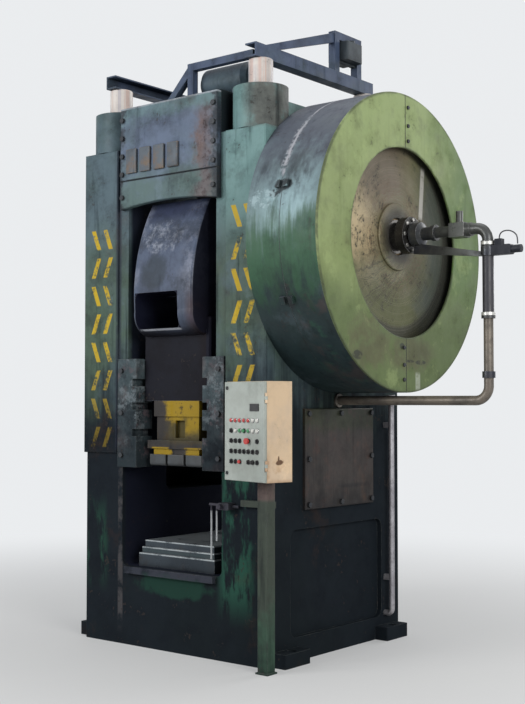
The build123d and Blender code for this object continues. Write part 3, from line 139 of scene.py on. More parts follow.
class Paint(Nodes):
    """One new material, whose colour is built up stain by stain.

    What makes a paint also gives it noises to share, such as middle, and painted() the mask dull, of
    what doesn't shine.
    """

    def __init__(self, name):
        self.material = bpy.data.materials.new(name)
        self.material.use_nodes = True
        super().__init__(self.material.node_tree)
        self.shader = self.tree.nodes["Principled BSDF"]
        self.place = self.add("ShaderNodeTexCoord").outputs["Object"]
        self.axes = None
        self.color = None

    def axis(self, name):
        """The place along X, Y or Z, in metres."""
        if self.axes is None:
            self.axes = self.add("ShaderNodeSeparateXYZ")
            self.put(self.place, self.axes.inputs[0])
        return self.axes.outputs[name]

    def noise(self, scale, detail=6.0, rough=0.6, stretch=None, shift=0.0):
        """Cloudy noise round 0.5. A shift gives another cloud of the same kind."""
        place = self.place
        if stretch or shift:
            mapping = self.add("ShaderNodeMapping")
            self.put(place, mapping.inputs["Vector"])
            self.put(stretch or (1, 1, 1), mapping.inputs["Scale"])
            self.put((shift, shift * 0.7, shift * 1.3), mapping.inputs["Location"])
            place = mapping.outputs[0]
        node = self.add("ShaderNodeTexNoise")
        self.put(place, node.inputs["Vector"])
        self.put(scale, node.inputs["Scale"])
        self.put(detail, node.inputs["Detail"])
        self.put(rough, node.inputs["Roughness"])
        return node.outputs["Fac"]

    def line_noise(self, value, detail):
        """Noise that changes along one value only."""
        node = self.add("ShaderNodeTexNoise", noise_dimensions="1D")
        self.put(value, node.inputs["W"])
        self.put(detail, node.inputs["Detail"])
        return node.outputs["Fac"]

    def ramp(self, value, low, high, to_low=0.0, to_high=1.0):
        """A smooth step from to_low, where the value is low, to to_high, where it is high."""
        if low > high:
            low, high, to_low, to_high = high, low, to_high, to_low
        node = self.add("ShaderNodeMapRange", interpolation_type="SMOOTHSTEP")
        for item, socket in zip((value, low, high, to_low, to_high), node.inputs):
            self.put(item, socket)
        return node.outputs[0]

    def between(self, value, low, high, soft=0.002):
        """1 where the value lies between low and high, with soft limits."""
        up = self.ramp(value, low - soft, low + soft)
        down = self.ramp(value, high - soft, high + soft, 1.0, 0.0)
        return self.both(up, down)

    def waver(self, value, noise, amount):
        """The value, pushed up and down by a noise."""
        return self.math("MULTIPLY_ADD", self.math("SUBTRACT", noise, 0.5), amount, value)

    def mix(self, a, b, amount):
        """The colour a, or b where the amount is 1."""
        node = self.add("ShaderNodeMix", data_type="RGBA")
        self.put(amount, node.inputs["Factor"])
        self.put(a, node.inputs[6])
        self.put(b, node.inputs[7])
        return node.outputs[2]

    def stain(self, tone, *masks):
        """Lays the tone over the paint's colour, where all the masks meet."""
        self.color = self.mix(self.color, tone, self.both(*masks))

    def blot(self, axes, middle, radii, ragged=0.5):
        """An uneven patch on the plane of two axes, 1 in its middle and 0 outside."""
        parts = [self.math("DIVIDE", self.math("SUBTRACT", self.axis(name), place), radius)
                 for name, place, radius in zip(axes, middle, radii)]
        away = self.math("SQRT", self.math("ADD", *[self.math("MULTIPLY", part, part) for part in parts]))
        return self.ramp(self.waver(away, self.middle, 2 * ragged), 0.7, 1.05, 1.0, 0.0)

    def radius(self, height):
        """Distance from the line along X at the given height."""
        offset = self.add("ShaderNodeVectorMath", operation="SUBTRACT")
        self.put(self.place, offset.inputs[0])
        self.put((0, 0, height), offset.inputs[1])
        flat = self.add("ShaderNodeVectorMath", operation="MULTIPLY")
        self.put(offset.outputs[0], flat.inputs[0])
        self.put((0, 1, 1), flat.inputs[1])
        length = self.add("ShaderNodeVectorMath", operation="LENGTH")
        self.put(flat.outputs[0], length.inputs[0])
        return length.outputs["Value"]

    def rounded(self, radius):
        """The surface's normal, as if its edges were rounded."""
        bevel = self.add("ShaderNodeBevel", samples=4)
        self.put(radius, bevel.inputs["Radius"])
        return bevel.outputs[0]

    def turn(self, normal):
        """How far the normal leans from the surface's own, 0 away from edges."""
        geometry = self.add("ShaderNodeNewGeometry")
        dot = self.add("ShaderNodeVectorMath", operation="DOT_PRODUCT")
        self.put(normal, dot.inputs[0])
        self.put(geometry.outputs["Normal"], dot.inputs[1])
        return self.math("SUBTRACT", 1.0, dot.outputs["Value"])

    def corners(self, distance):
        """How closed in the surface is, from 0 in the open to 1 in a deep corner."""
        node = self.add("ShaderNodeAmbientOcclusion", samples=6)
        self.put(distance, node.inputs["Distance"])
        return self.math("SUBTRACT", 1.0, node.outputs["AO"])

    def upward(self):
        """How far the surface faces up, from -1 to 1."""
        geometry = self.add("ShaderNodeNewGeometry")
        split = self.add("ShaderNodeSeparateXYZ")
        self.put(geometry.outputs["Normal"], split.inputs[0])
        return split.outputs["Z"]

    def finish(self, rough, height, normal, depth, strength, gloss=0.5, metallic=0.0):
        """The finished material, with the paint's colour and a bump as deep as the height says."""
        self.put(self.color, self.shader.inputs["Base Color"])
        self.put(rough, self.shader.inputs["Roughness"])
        self.put(metallic, self.shader.inputs["Metallic"])
        self.put(gloss, self.shader.inputs["Specular IOR Level"])
        bump = self.add("ShaderNodeBump")
        self.put(strength, bump.inputs["Strength"])
        self.put(depth, bump.inputs["Distance"])
        self.put(height, bump.inputs["Height"])
        self.put(normal, bump.inputs["Normal"])
        self.put(bump.outputs[0], self.shader.inputs["Normal"])
        return self.material


# A dark tone for soiling and for painted shade in corners
GRIME_AND_SHADE = (0.008, 0.010, 0.014)
RUST = (0.070, 0.036, 0.022)


def painted(name, base, second, second_range=(0.44, 0.62), second_scale=1.3, grime_and_shade=GRIME_AND_SHADE, low=None,
            low_amount=0.9, streaks=0.55, mottle=0.45, corner_dirt_and_shade=0.8, rust=0.25, chips=0.6,
            chip_color=(0.040, 0.034, 0.032), edge=0.6, edge_color=(0.20, 0.22, 0.21), dust=0.0,
            dust_color=(0.090, 0.096, 0.125), fade=0.35, rough=(0.42, 0.78), bevel=0.004,
            zones=None, marks=None, gloss=0.22, shift=0.0):
    """Old machine paint: faded patches, oil runs, soiling and painted shade in corners, darker low down,
    chips, rust.

    zones(p) stains the paint before the soiling, painted shade and darkening come over it, marks(p) after
    it.
    """
    p = Paint(name)
    p.broad = p.noise(second_scale, 7, 0.62, shift=shift)
    p.middle = p.noise(6.5, 9, 0.68, shift=shift + 3.0)
    p.fine = p.noise(48, 5, 0.6)
    p.runs = p.noise(1.0, 7, 0.64, stretch=(15, 15, 0.9), shift=shift)
    p.color = p.mix(base, second, p.ramp(p.broad, *second_range))
    if zones:
        zones(p)
    patches = p.noise(3.4, 9, 0.70, shift=shift + 5.0)
    p.stain(grime_and_shade, p.ramp(patches, 0.52, 0.36, 0.0, mottle * 0.8))
    faded = tuple(1.5 * part + 0.015 for part in base)
    p.stain(faded, p.ramp(patches, 0.54, 0.66, 0.0, fade), p.ramp(p.middle, 0.36, 0.56))
    p.stain(grime_and_shade, p.ramp(p.middle, 0.46, 0.78, 0.0, mottle))
    if dust:
        up = p.ramp(p.upward(), -0.1, 0.8, 0.0, dust)
        p.stain(dust_color, up, p.ramp(p.middle, 0.2, 0.6, 0.55, 1.0))
    # Soiling and painted shade where the surface is closed in, joined below with the oil runs
    closed = p.ramp(p.corners(0.14), 0.25, 0.9, 0.0, corner_dirt_and_shade)
    closed = p.both(closed, p.ramp(p.middle, 0.2, 0.6, 0.6, 1.0))
    dirt_and_shade = p.either(p.ramp(p.runs, 0.52, 0.74, 0.0, streaks), closed)
    # Darker low down
    if low:
        wave = p.waver(p.waver(p.axis("Z"), p.broad, 1.3), p.runs, 1.0)
        dirt_and_shade = p.either(dirt_and_shade, p.ramp(wave, *low, low_amount, 0.0))
    p.dull = dirt_and_shade
    p.stain(grime_and_shade, dirt_and_shade)
    if marks:
        marks(p)
    gloss = p.math("MULTIPLY_ADD", p.dull, -0.85 * gloss, gloss)
    p.stain(RUST, p.ramp(p.noise(2.4, 10, 0.72, shift=shift + 9.0), 0.56, 0.70), rust)
    spots = p.math("MULTIPLY_ADD", p.middle, 0.55, p.math("MULTIPLY", p.fine, 0.45))
    chip = p.ramp(spots, 0.595, 0.620, 0.0, chips)
    p.stain(chip_color, chip)
    normal = p.rounded(bevel)
    p.stain(edge_color, p.ramp(p.turn(normal), 0.03, 0.22), p.ramp(p.middle, 0.38, 0.58), edge)
    roughness = p.ramp(p.math("MULTIPLY_ADD", dirt_and_shade, 0.3, p.middle), 0.3, 0.9, *rough)
    height = p.math("MULTIPLY_ADD", chip, -0.5, p.math("MULTIPLY_ADD", p.fine, 0.35, p.middle))
    return p.finish(roughness, height, normal, depth=0.0018, strength=0.55, gloss=gloss)


def steel(name, base, second, rough=(0.28, 0.55), metallic=0.9, stain=(0.035, 0.031, 0.029), stains=0.5,
          rust=0.3, brush=None, bevel=0.003, scale=4.0, corner_dirt_and_shade=0.7, edge=0.5,
          edge_color=(0.50, 0.50, 0.50), zones=None):
    """Bare or oiled metal with stains, painted shade in corners, rust bloom, brushing and bright edges."""
    p = Paint(name)
    p.middle = p.noise(scale * 1.6, 9, 0.68, shift=2.0)
    fine = p.noise(70, 4, 0.6, stretch=brush)
    p.color = p.mix(base, second, p.ramp(p.noise(scale * 0.35), 0.4, 0.62))
    p.stain(stain, p.ramp(p.middle, 0.46, 0.72, 0.0, stains))
    if zones:
        zones(p)
    # Stains and painted shade in the corners
    p.stain(stain, p.ramp(p.corners(0.07), 0.25, 0.9, 0.0, corner_dirt_and_shade))
    rusty = p.both(p.ramp(p.noise(scale * 0.9, 10, 0.72, shift=5.0), 0.55, 0.68), rust)
    p.stain(RUST, rusty)
    normal = p.rounded(bevel)
    p.stain(edge_color, p.ramp(p.turn(normal), 0.03, 0.2), p.ramp(p.middle, 0.35, 0.6), edge)
    roughness = p.ramp(p.math("MULTIPLY_ADD", fine, 0.4, p.middle), 0.45, 1.0, *rough)
    height = p.math("MULTIPLY_ADD", fine, 0.5, p.middle)
    if rust:
        metallic = p.math("SUBTRACT", metallic, p.both(rusty, 0.8), clamp=True)
    return p.finish(roughness, height, normal, depth=0.0010, strength=0.4, gloss=0.3, metallic=metallic)


def smooth(name, base, second, rough=(0.25, 0.45), scale=40.0, coat=0.0):
    """Plastic, rubber or enamel with fine mottling and a little soiling and painted shade in its corners.
    """
    p = Paint(name)
    middle = p.noise(scale)
    p.color = p.mix(base, second, p.ramp(middle, 0.42, 0.68))
    # Soiling and painted shade in the corners
    p.stain(GRIME_AND_SHADE, p.ramp(p.corners(0.02), 0.3, 0.9, 0.0, 0.5))
    p.put(coat, p.shader.inputs["Coat Weight"])
    roughness = p.ramp(middle, 0.35, 0.7, *rough)
    grain = p.noise(scale * 12, 3, 0.5)
    return p.finish(roughness, grain, p.rounded(0.001), depth=0.0003, strength=0.2)


# Marks of yellow paint on the columns, plain slanted strokes

def yellow_strokes(p):
    """Worn slanted strokes in two rows on each front pad, fainter toward the bottom."""
    z, x, y = p.axis("Z"), p.axis("X"), p.axis("Y")
    front = p.ramp(y, PAD_FACE + 0.004, PAD_FACE + 0.006, 1.0, 0.0)
    worn = p.ramp(p.math("MULTIPLY_ADD", p.fine, 0.5, p.middle), 0.74, 0.92, 1.0, 0.0)
    faded = p.ramp(z, 1.35, 2.15, 0.25, 1.0)
    strokes = []
    for pad_middle, low, high, pitch, reach in ((-0.640, 1.30, 2.87, 0.196, 0.058),
                                                (0.640, 1.70, 2.92, 0.204, 0.052)):
        cells = p.math("DIVIDE", p.math("SUBTRACT", z, low), pitch)
        part = p.math("FRACT", cells)
        odd = p.math("MODULO", p.math("FLOOR", cells), 2.0)
        side = p.math("MULTIPLY_ADD", odd, -2.0, 1.0)
        lean = p.math("MULTIPLY", p.math("SUBTRACT", part, 0.5), p.math("MULTIPLY", side, 0.08))
        across = p.math("SUBTRACT", p.math("SUBTRACT", x, pad_middle), lean)
        apart = p.math("ABSOLUTE", p.math("SUBTRACT", p.math("ABSOLUTE", across), reach))
        stroke = p.ramp(apart, 0.018, 0.022, 1.0, 0.0)
        strokes.append(p.both(stroke, p.between(part, 0.16, 0.86, 0.02), faded, p.between(z, low, high)))
    p.stain((0.50, 0.345, 0.022), p.either(*strokes), front, worn)


# Zones and marks of the single paints, each stain with its colour and its masks

def frame_zones(p):
    """Where the frame is paler, greener or browner; the brown high on the right is also painted shade."""
    z, x = p.axis("Z"), p.axis("X")
    wave = p.waver(z, p.broad, 0.9)
    right = p.ramp(x, 0.2, 0.6)
    p.stain((0.165, 0.290, 0.285), right, p.ramp(wave, 2.5, 2.95), 0.92)
    p.stain((0.066, 0.105, 0.072), p.between(wave, 1.25, 2.75, 0.3), p.ramp(p.broad, 0.36, 0.56), 0.85)
    # Brown tone and painted shade on the right half of the right shoulder
    boss = p.both(p.ramp(z, 3.36, 3.40), right, p.ramp(x, 0.60, 0.74))
    p.stain((0.120, 0.105, 0.095), boss, p.ramp(p.middle, 0.3, 0.5), 0.8)


def frame_marks(p):
    """Strokes, painted shade in the throat and by the cover, green patches and a painted highlight low on
    the front.
    """
    z, x, y = p.axis("Z"), p.axis("X"), p.axis("Y")
    yellow_strokes(p)
    front = p.ramp(y, COLUMN_FACE + 0.005, COLUMN_FACE + 0.002)
    p.stain((0.017, 0.050, 0.037), p.blot("XZ", (0.05, BED_TOP - 0.10), (0.34, 0.09), 0.8), front, 0.8)
    right = p.both(p.between(x, 0.44, 0.70, 0.05), p.between(z, 0.35, 1.25, 0.15), front)
    patches = p.ramp(p.noise(3.0, 8, 0.7, stretch=(3, 3, 0.8), shift=2.0), 0.42, 0.54)
    p.stain((0.028, 0.092, 0.066), right, patches, 0.85)
    left = p.both(p.between(x, -0.80, -0.60, 0.04), p.between(z, 0.45, 0.90, 0.15), front)
    patches = p.ramp(p.noise(3.0, 8, 0.7, stretch=(3, 3, 0.8), shift=7.0), 0.48, 0.58)
    p.stain((0.024, 0.072, 0.050), left, patches, 0.7)
    ledge = p.both(p.between(z, BED_TOP - 0.044, BED_TOP + 0.004, 0.003), p.between(x, -0.42, 0.42, 0.01))
    ledge_front = p.ramp(y, COLUMN_FACE - 0.005, COLUMN_FACE - 0.010)
    p.stain((0.046, 0.050, 0.066), ledge, ledge_front, p.ramp(p.middle, 0.3, 0.55), 0.9)
    # A painted highlight down the left column's inner front corner
    rubbed = p.both(p.between(x, -0.49, -0.445, 0.006), p.between(z, 0.15, 1.27, 0.1), front)
    p.stain((0.075, 0.072, 0.076), rubbed, p.ramp(p.middle, 0.40, 0.56), 0.8)
    strip = p.both(p.between(x, -0.50, -0.47, 0.012), p.ramp(z, 1.30, 1.35))
    p.stain((0.022, 0.027, 0.044), strip, p.ramp(p.middle, 0.28, 0.44), 0.8)
    # Painted shadow in the gaps between the cover and the shoulders on either side
    beside = p.between(p.math("ABSOLUTE", x), COVER_HIGH.x - 0.040, COVER_HIGH.x + 0.038, 0.006)
    gap_shade = p.both(p.ramp(z, 3.375, 3.39), beside)
    p.stain((0.008, 0.009, 0.013), gap_shade, 0.92)
    # Painted shade in the window's throat, front to back
    throat_shade = p.both(p.between(x, -0.452, 0.452, 0.003), p.between(y, -0.726, 0.70, 0.02),
                    p.ramp(z, 3.10, 3.00), 0.92)
    p.dull = p.either(p.dull, gap_shade, throat_shade)
    p.stain((0.012, 0.014, 0.027), throat_shade)


def cover_zones(p):
    """Teal under the upper edge, rust blooming down the right quarter, darker side rims, a painted
    highlight on the top edge.
    """
    z, x = p.axis("Z"), p.axis("X")
    ragged = p.noise(4.5, 9, 0.74, shift=8.0)
    wave = p.waver(x, ragged, 0.34)
    drop = p.waver(z, ragged, 0.30)
    p.stain((0.120, 0.205, 0.215), p.between(drop, 3.55, 3.66, 0.04), 0.7)
    p.stain((0.070, 0.100, 0.135), p.between(drop, 3.42, 3.54, 0.05), 0.55)
    p.stain((0.085, 0.140, 0.125), p.ramp(drop, 3.22, 3.10), 0.7)
    p.stain((0.110, 0.142, 0.225), p.blot("XZ", (0.05, 3.42), (0.40, 0.20), 1.0), 0.6)
    band = p.both(p.between(wave, 0.27, 0.41, 0.05), p.ramp(drop, 3.62, 3.50))
    p.stain((0.122, 0.094, 0.100), band, 0.8)
    glow = p.both(p.between(wave, 0.25, 0.31, 0.04), p.between(drop, 3.20, 3.50, 0.06))
    p.stain((0.170, 0.102, 0.082), glow, p.ramp(p.middle, 0.36, 0.58), 0.7)
    p.stain((0.048, 0.030, 0.032), band, p.ramp(p.noise(11, 8, 0.7, shift=6.0), 0.50, 0.58), 0.85)
    rims = p.either(p.ramp(wave, 0.39, 0.43), p.ramp(wave, -0.39, -0.43))
    p.stain((0.022, 0.027, 0.036), rims, p.ramp(p.middle, 0.30, 0.50), 0.9)
    seam = p.between(z, COVER_LOW.z - 0.007, COVER_LOW.z + 0.007, 0.003)
    p.stain((0.012, 0.013, 0.016), seam, 0.85)
    # Painted highlight along the cover's top edge
    edge = p.ramp(z, COVER_HIGH.z - 0.016, COVER_HIGH.z - 0.008)
    p.stain((0.30, 0.34, 0.38), edge, p.ramp(p.middle, 0.3, 0.5))


def guard_zones(p):
    """Pale where the light strikes the drum's front, green under it and black painted shade low down."""
    x, y = p.axis("X"), p.axis("Y")
    wave = p.waver(p.waver(p.axis("Z"), p.broad, 0.9), p.runs, 0.8)
    pale = p.both(p.between(wave, 2.62, 3.05, 0.18), p.ramp(y, -0.50, -0.80))
    p.stain((0.200, 0.300, 0.315), pale, 0.95)
    p.stain((0.340, 0.500, 0.540), pale, p.between(x, 0.98, 1.30, 0.10), 0.9)
    p.stain((0.032, 0.096, 0.046), p.between(wave, 2.12, 2.70, 0.16), 0.92)
    # Black painted shade over the drum's lower part
    black = p.ramp(wave, 2.12, 2.50, 1.0, 0.0)
    p.stain((0.014, 0.028, 0.030), black, 0.94)
    p.stain((0.026, 0.075, 0.052), black, p.ramp(p.noise(5, 8, 0.7, shift=1.5), 0.55, 0.66), 0.75)
    brown = p.both(p.between(x, 1.12, 1.36, 0.03), p.ramp(wave, 2.60, 2.30))
    p.stain((0.050, 0.040, 0.040), brown, p.ramp(p.noise(4, 8, 0.7, shift=2.2), 0.5, 0.6), 0.7)


def guard_marks(p):
    """A painted highlight along the seam down to the front lug, painted highlights by the lug, and dark
    smears under the lugs.
    """
    z, x, y = p.axis("Z"), p.axis("X"), p.axis("Y")
    wave = p.waver(x, p.noise(9, 5, 0.6), 0.05)
    # Painted highlight along the seam's edge, thin high up and broad at the front
    seam_highlight = p.both(p.between(wave, 1.046, 1.062, 0.005), p.ramp(z, 2.99, 3.04), p.ramp(y, -0.1, -0.25))
    p.stain((0.42, 0.42, 0.46), seam_highlight, p.ramp(p.middle, 0.36, 0.50), 0.9)
    broad_seam_highlight = p.both(p.between(wave, 1.030, 1.072, 0.010), p.ramp(y, -0.55, -0.66), p.ramp(z, 3.02, 3.06))
    p.stain((0.36, 0.38, 0.42), broad_seam_highlight, p.ramp(p.fine, 0.46, 0.58), 0.8)
    front = p.ramp(y, -0.5, -0.6)
    smear = p.either(p.blot("XZ", (1.085, 2.945), (0.085, 0.045), 1.1),
                     p.blot("XZ", (1.04, 2.905), (0.055, 0.035), 1.3),
                     p.blot("XZ", (1.09, 2.29), (0.035, 0.10), 1.2))
    ragged = p.ramp(p.noise(16, 8, 0.75, shift=5.0), 0.36, 0.48)
    p.stain((0.016, 0.019, 0.022), smear, ragged, front, 0.92)
    # Painted highlights beside the front lug
    lug_highlights = p.both(p.blot("XZ", (0.93, 2.88), (0.11, 0.06), 1.4),
                    p.ramp(p.noise(13, 8, 0.78, shift=9.0), 0.46, 0.54))
    p.stain((0.340, 0.455, 0.490), lug_highlights, front, 0.8)
    seam = p.between(x, GUARD_SEAM - 0.0025, GUARD_SEAM + 0.0025, 0.001)
    p.stain((0.014, 0.017, 0.020), seam, p.ramp(z, 2.95, 2.88), 0.85)


def ring_zones(p):
    """Brightest at the top; darker and greener to the rear and low down, dirt and painted shade; brown
    stains low down.
    """
    z, y = p.axis("Z"), p.axis("Y")
    p.stain((0.290, 0.372, 0.158), p.ramp(p.waver(z, p.broad, 0.8), 3.00, 3.45), 0.9)
    # Dirt and painted shade: darker and greener to the rear and low down
    p.stain((0.090, 0.160, 0.046), p.ramp(p.waver(y, p.broad, 0.7), 0.22, 0.72), 0.92)
    p.stain((0.098, 0.140, 0.052), p.ramp(p.waver(z, p.broad, 0.7), 2.05, 2.55, 0.88, 0.0))
    brown = p.either(p.blot("YZ", (-0.42, 2.02), (0.26, 0.20), 1.2),
                     p.blot("YZ", (0.05, 1.95), (0.30, 0.13), 1.2))
    p.stain((0.105, 0.100, 0.055), brown, p.ramp(p.middle, 0.34, 0.54), 0.75)


def ring_marks(p):
    """The dark line of the ring's split, smudges at its foot, a pale patch and darker rims."""
    z, y = p.axis("Z"), p.axis("Y")
    split = p.between(y, -0.0045, 0.0045, 0.002)
    smudges = p.either(p.blot("YZ", (0.05, 1.905), (0.06, 0.014), 1.0),
                       p.blot("YZ", (0.17, 1.90), (0.07, 0.016), 1.0),
                       p.blot("YZ", (-0.05, 2.00), (0.03, 0.02), 0.9),
                       p.blot("YZ", (-0.55, 1.93), (0.06, 0.03), 1.0))
    ragged = p.ramp(p.noise(24, 6, 0.7, shift=5.0), 0.38, 0.5)
    p.stain((0.030, 0.034, 0.026), p.either(split, p.both(smudges, ragged)), 0.88)
    pale = p.both(p.between(y, 0.11, 0.165, 0.008), p.between(z, 1.72, 1.83, 0.015))
    p.stain((0.40, 0.44, 0.36), pale, p.ramp(p.middle, 0.3, 0.5), 0.8)
    away = p.radius(GUARD_HEIGHT)
    rims = p.either(p.ramp(away, GUARD_RADIUS - 0.020, GUARD_RADIUS - 0.003), p.ramp(away, 0.628, 0.616))
    p.stain((0.055, 0.070, 0.040), rims, p.ramp(p.middle, 0.34, 0.54), 0.75)


def box_side_marks(p):
    """A ragged rust spot on the box's side, and rust along its lower and front edges."""
    z, y = p.axis("Z"), p.axis("Y")
    cloud = p.ramp(p.noise(14, 7, 0.7, shift=2.0), 0.38, 0.62)
    p.stain((0.46, 0.28, 0.16), p.blot("YZ", (-0.972, 1.272), (0.050, 0.045), 1.6), cloud, 0.55)
    spot = p.either(p.blot("YZ", (-0.968, 1.285), (0.030, 0.014), 2.2),
                    p.blot("YZ", (-0.975, 1.300), (0.007, 0.024), 1.6))
    p.stain((0.100, 0.048, 0.026), spot, 0.92)
    wave = p.math("MULTIPLY_ADD", p.middle, 0.06, z)
    foot = p.both(p.ramp(wave, BOX_FOOT + 0.018, BOX_FOOT + 0.058, 1.0, 0.0), 0.6)
    front = p.both(p.ramp(y, -1.02, -1.07), p.ramp(z, 1.42, 1.22), cloud, 0.75)
    p.stain((0.34, 0.18, 0.09), p.either(foot, front))


def ram_zones(p):
    """Painted shadow under the cover on the nose's top, painted rim light and highlights on the nose, a
    darker patch over its window.
    """
    z, x = p.axis("Z"), p.axis("X")
    # Painted shadow under the crown's cover, at the top of the nose
    p.stain((0.042, 0.052, 0.100), p.ramp(z, 2.80, 2.93), 0.85)
    # Painted rim light down both edges of the nose
    rim = p.both(p.either(p.ramp(x, 0.10, 0.25), p.ramp(x, -0.18, -0.262)), p.ramp(z, 2.20, 2.5))
    p.stain((0.215, 0.240, 0.315), rim, p.ramp(p.noise(7, 9, 0.74, shift=3.0), 0.44, 0.60), 0.75)
    # Painted highlights in the middle of the nose
    shine = p.both(p.blot("XZ", (-0.05, 2.74), (0.24, 0.11), 1.1),
                   p.ramp(p.noise(22, 8, 0.80, shift=1.0), 0.46, 0.62))
    p.stain((0.300, 0.330, 0.400), shine, 0.75)
    patch = p.blot("XZ", (-0.07, 2.50), (0.13, 0.13), 0.9)
    p.stain((0.030, 0.044, 0.064), patch, p.ramp(p.middle, 0.30, 0.48), 0.85)


def ram_marks(p):
    """A brown stain low on the right, painted shade low down, on the right side and in the window, a
    painted highlight under it.
    """
    z, x = p.axis("Z"), p.axis("X")
    p.stain((0.050, 0.030, 0.034), p.ramp(x, 0.18, 0.25), p.ramp(z, 2.45, 2.25), 0.75)
    # Painted shade over the lower half of the ram
    low = p.ramp(p.math("MULTIPLY_ADD", p.middle, 0.1, z), 2.13, 2.24, 0.93, 0.0)
    p.stain((0.010, 0.009, 0.011), low)
    # Painted shade on the nose's right side
    side = p.both(p.ramp(x, NOSE_SIDE - 0.001, NOSE_SIDE + 0.002), 0.93)
    p.stain((0.011, 0.012, 0.021), side)
    # Painted shade in the window
    hollow = p.both(p.between(x, HOLLOW_LEFT - 0.0006, HOLLOW_RIGHT + 0.0006, 0.0004),
                    p.between(z, HOLLOW_LOW - 0.0006, HOLLOW_HIGH + 0.0006, 0.0004))
    p.stain((0.008, 0.009, 0.020), hollow, 0.95)
    p.dull = p.either(p.dull, low, side, hollow)
    # A painted highlight along the window's lower edge
    sill = p.both(p.between(z, HOLLOW_LOW - 0.013, HOLLOW_LOW - 0.0006, 0.003),
                  p.between(x, HOLLOW_LEFT + 0.010, HOLLOW_RIGHT - 0.005, 0.01))
    p.stain((0.34, 0.36, 0.40), sill, p.ramp(p.middle, 0.30, 0.45), 0.85)


def holder_zones(p):
    """Yellow left on the right of the top plate and of the block, and on the foot, soot between."""
    z, x, y = p.axis("Z"), p.axis("X"), p.axis("Y")
    ragged = p.noise(5, 8, 0.72, shift=4.0)
    drop = p.waver(z, ragged, 0.25)
    across = p.waver(x, ragged, 0.30)
    p.stain((0.085, 0.066, 0.016), p.ramp(across, -0.16, 0.02), p.between(z, 1.38, 1.56, 0.04), 0.8)
    top = p.both(p.ramp(across, -0.13, -0.07), p.ramp(drop, 1.50, 1.55))
    right = p.both(p.ramp(across, 0.02, 0.13), p.ramp(drop, 1.40, 1.50))
    foot = p.both(p.between(z, HOLDER_FOOT + 0.001, HOLDER_FOOT + 0.060, 0.004),
                  p.either(p.between(across, -0.20, -0.03, 0.012), p.between(across, 0.11, 0.23, 0.012)))
    gold = p.both(p.either(top, right, foot), p.ramp(p.middle, 0.30, 0.44), p.ramp(y, -0.66, -0.68))
    p.stain((0.330, 0.215, 0.008), gold, 0.9)
    p.stain((0.045, 0.030, 0.012), p.ramp(p.noise(14, 7, 0.75, shift=6.0), 0.56, 0.64), 0.85)


def cap_zones(p):
    """Warm, pinkish and bluish grey bands down the white cups, painted reflections of their silvery sheen.
    """
    # Painted reflections: warm, pinkish and bluish grey bands running down the cups
    bands = p.noise(1.0, 4, 0.6, stretch=(26, 26, 0.5), shift=2.0)
    p.stain((0.66, 0.46, 0.40), p.ramp(bands, 0.50, 0.60, 0.0, 0.65))
    p.stain((0.42, 0.40, 0.46), p.ramp(bands, 0.46, 0.38, 0.0, 0.6))
    wave = p.math("MULTIPLY_ADD", p.middle, 0.05, p.axis("Z"))
    p.stain((0.18, 0.15, 0.13), p.ramp(wave, CAP_FOOT + 0.025, CAP_FOOT + 0.055, 0.6, 0.0))


def post_zones(p):
    """A pinkish worn patch at the post's top, greener below."""
    z = p.axis("Z")
    top = p.ramp(z, POST_TOP - 0.137, POST_TOP - 0.107)
    p.stain((0.125, 0.085, 0.080), top, p.ramp(p.middle, 0.36, 0.52), 0.8)
    p.stain((0.036, 0.080, 0.052), p.ramp(z, 0.7, 0.4), p.ramp(p.broad, 0.4, 0.6))


def spray_marks(p):
    """The thin pipes below the valve are pale."""
    p.stain((0.42, 0.44, 0.46), p.ramp(p.axis("Z"), 0.955, 0.945), p.ramp(p.middle, 0.25, 0.45), 0.85)


def coupling_marks(p):
    """Pale clamp rings at both ends of the hose."""
    z = p.axis("Z")
    rings = p.either(p.between(z, HOSE_FOOT - 0.019, HOSE_FOOT + 0.002, 0.002),
                     p.between(z, HOSE_TOP + 0.006, HOSE_TOP + 0.024, 0.002))
    p.stain((0.62, 0.62, 0.60), rings, p.ramp(p.axis("X"), 1.86, 1.90), 0.9)


def gib_marks(p):
    """Pale rubbed and pinkish blotches on the guide bars."""
    z = p.axis("Z")
    rubbed = p.ramp(p.noise(8, 9, 0.76, shift=1.0), 0.50, 0.60)
    p.stain((0.150, 0.178, 0.195), rubbed, p.ramp(z, 1.25, 1.55), 0.75)
    pink = p.ramp(p.noise(6, 9, 0.76, shift=8.0), 0.54, 0.62)
    p.stain((0.105, 0.082, 0.092), pink, p.ramp(z, 2.0, 1.8), 0.7)


def side_zones(p):
    """An olive band at the plate's top, rust, and a black scrape near its foot."""
    z, y = p.axis("Z"), p.axis("Y")
    p.stain((0.030, 0.036, 0.020), p.ramp(p.math("MULTIPLY_ADD", p.middle, 0.25, z), 1.54, 1.64), 0.85)
    p.stain((0.056, 0.032, 0.027), p.ramp(p.noise(7, 9, 0.72, shift=3.0), 0.53, 0.62), 0.7)
    p.stain((0.015, 0.014, 0.014), p.between(z, 1.07, 1.095, 0.008), p.between(y, 0.02, 0.32, 0.02), 0.9)


def bolster_zones(p):
    """Painted highlights on the upper edges of the steps and a painted greenish shadow between them."""
    z = p.axis("Z")
    steps = [BOLSTER_TOP - drop for drop in (0.0, 0.045, 0.085)]
    # Painted highlights along the steps' upper edges
    rims = p.either(*[p.between(z, step - 0.008, step + 0.0002, 0.002) for step in steps])
    p.stain((0.42, 0.46, 0.48), rims, p.ramp(p.middle, 0.28, 0.48), 0.9)
    # Painted greenish shadow between the steps
    p.stain((0.045, 0.065, 0.070), p.between(z, 0.625, 0.648, 0.006), 0.7)


# Paints

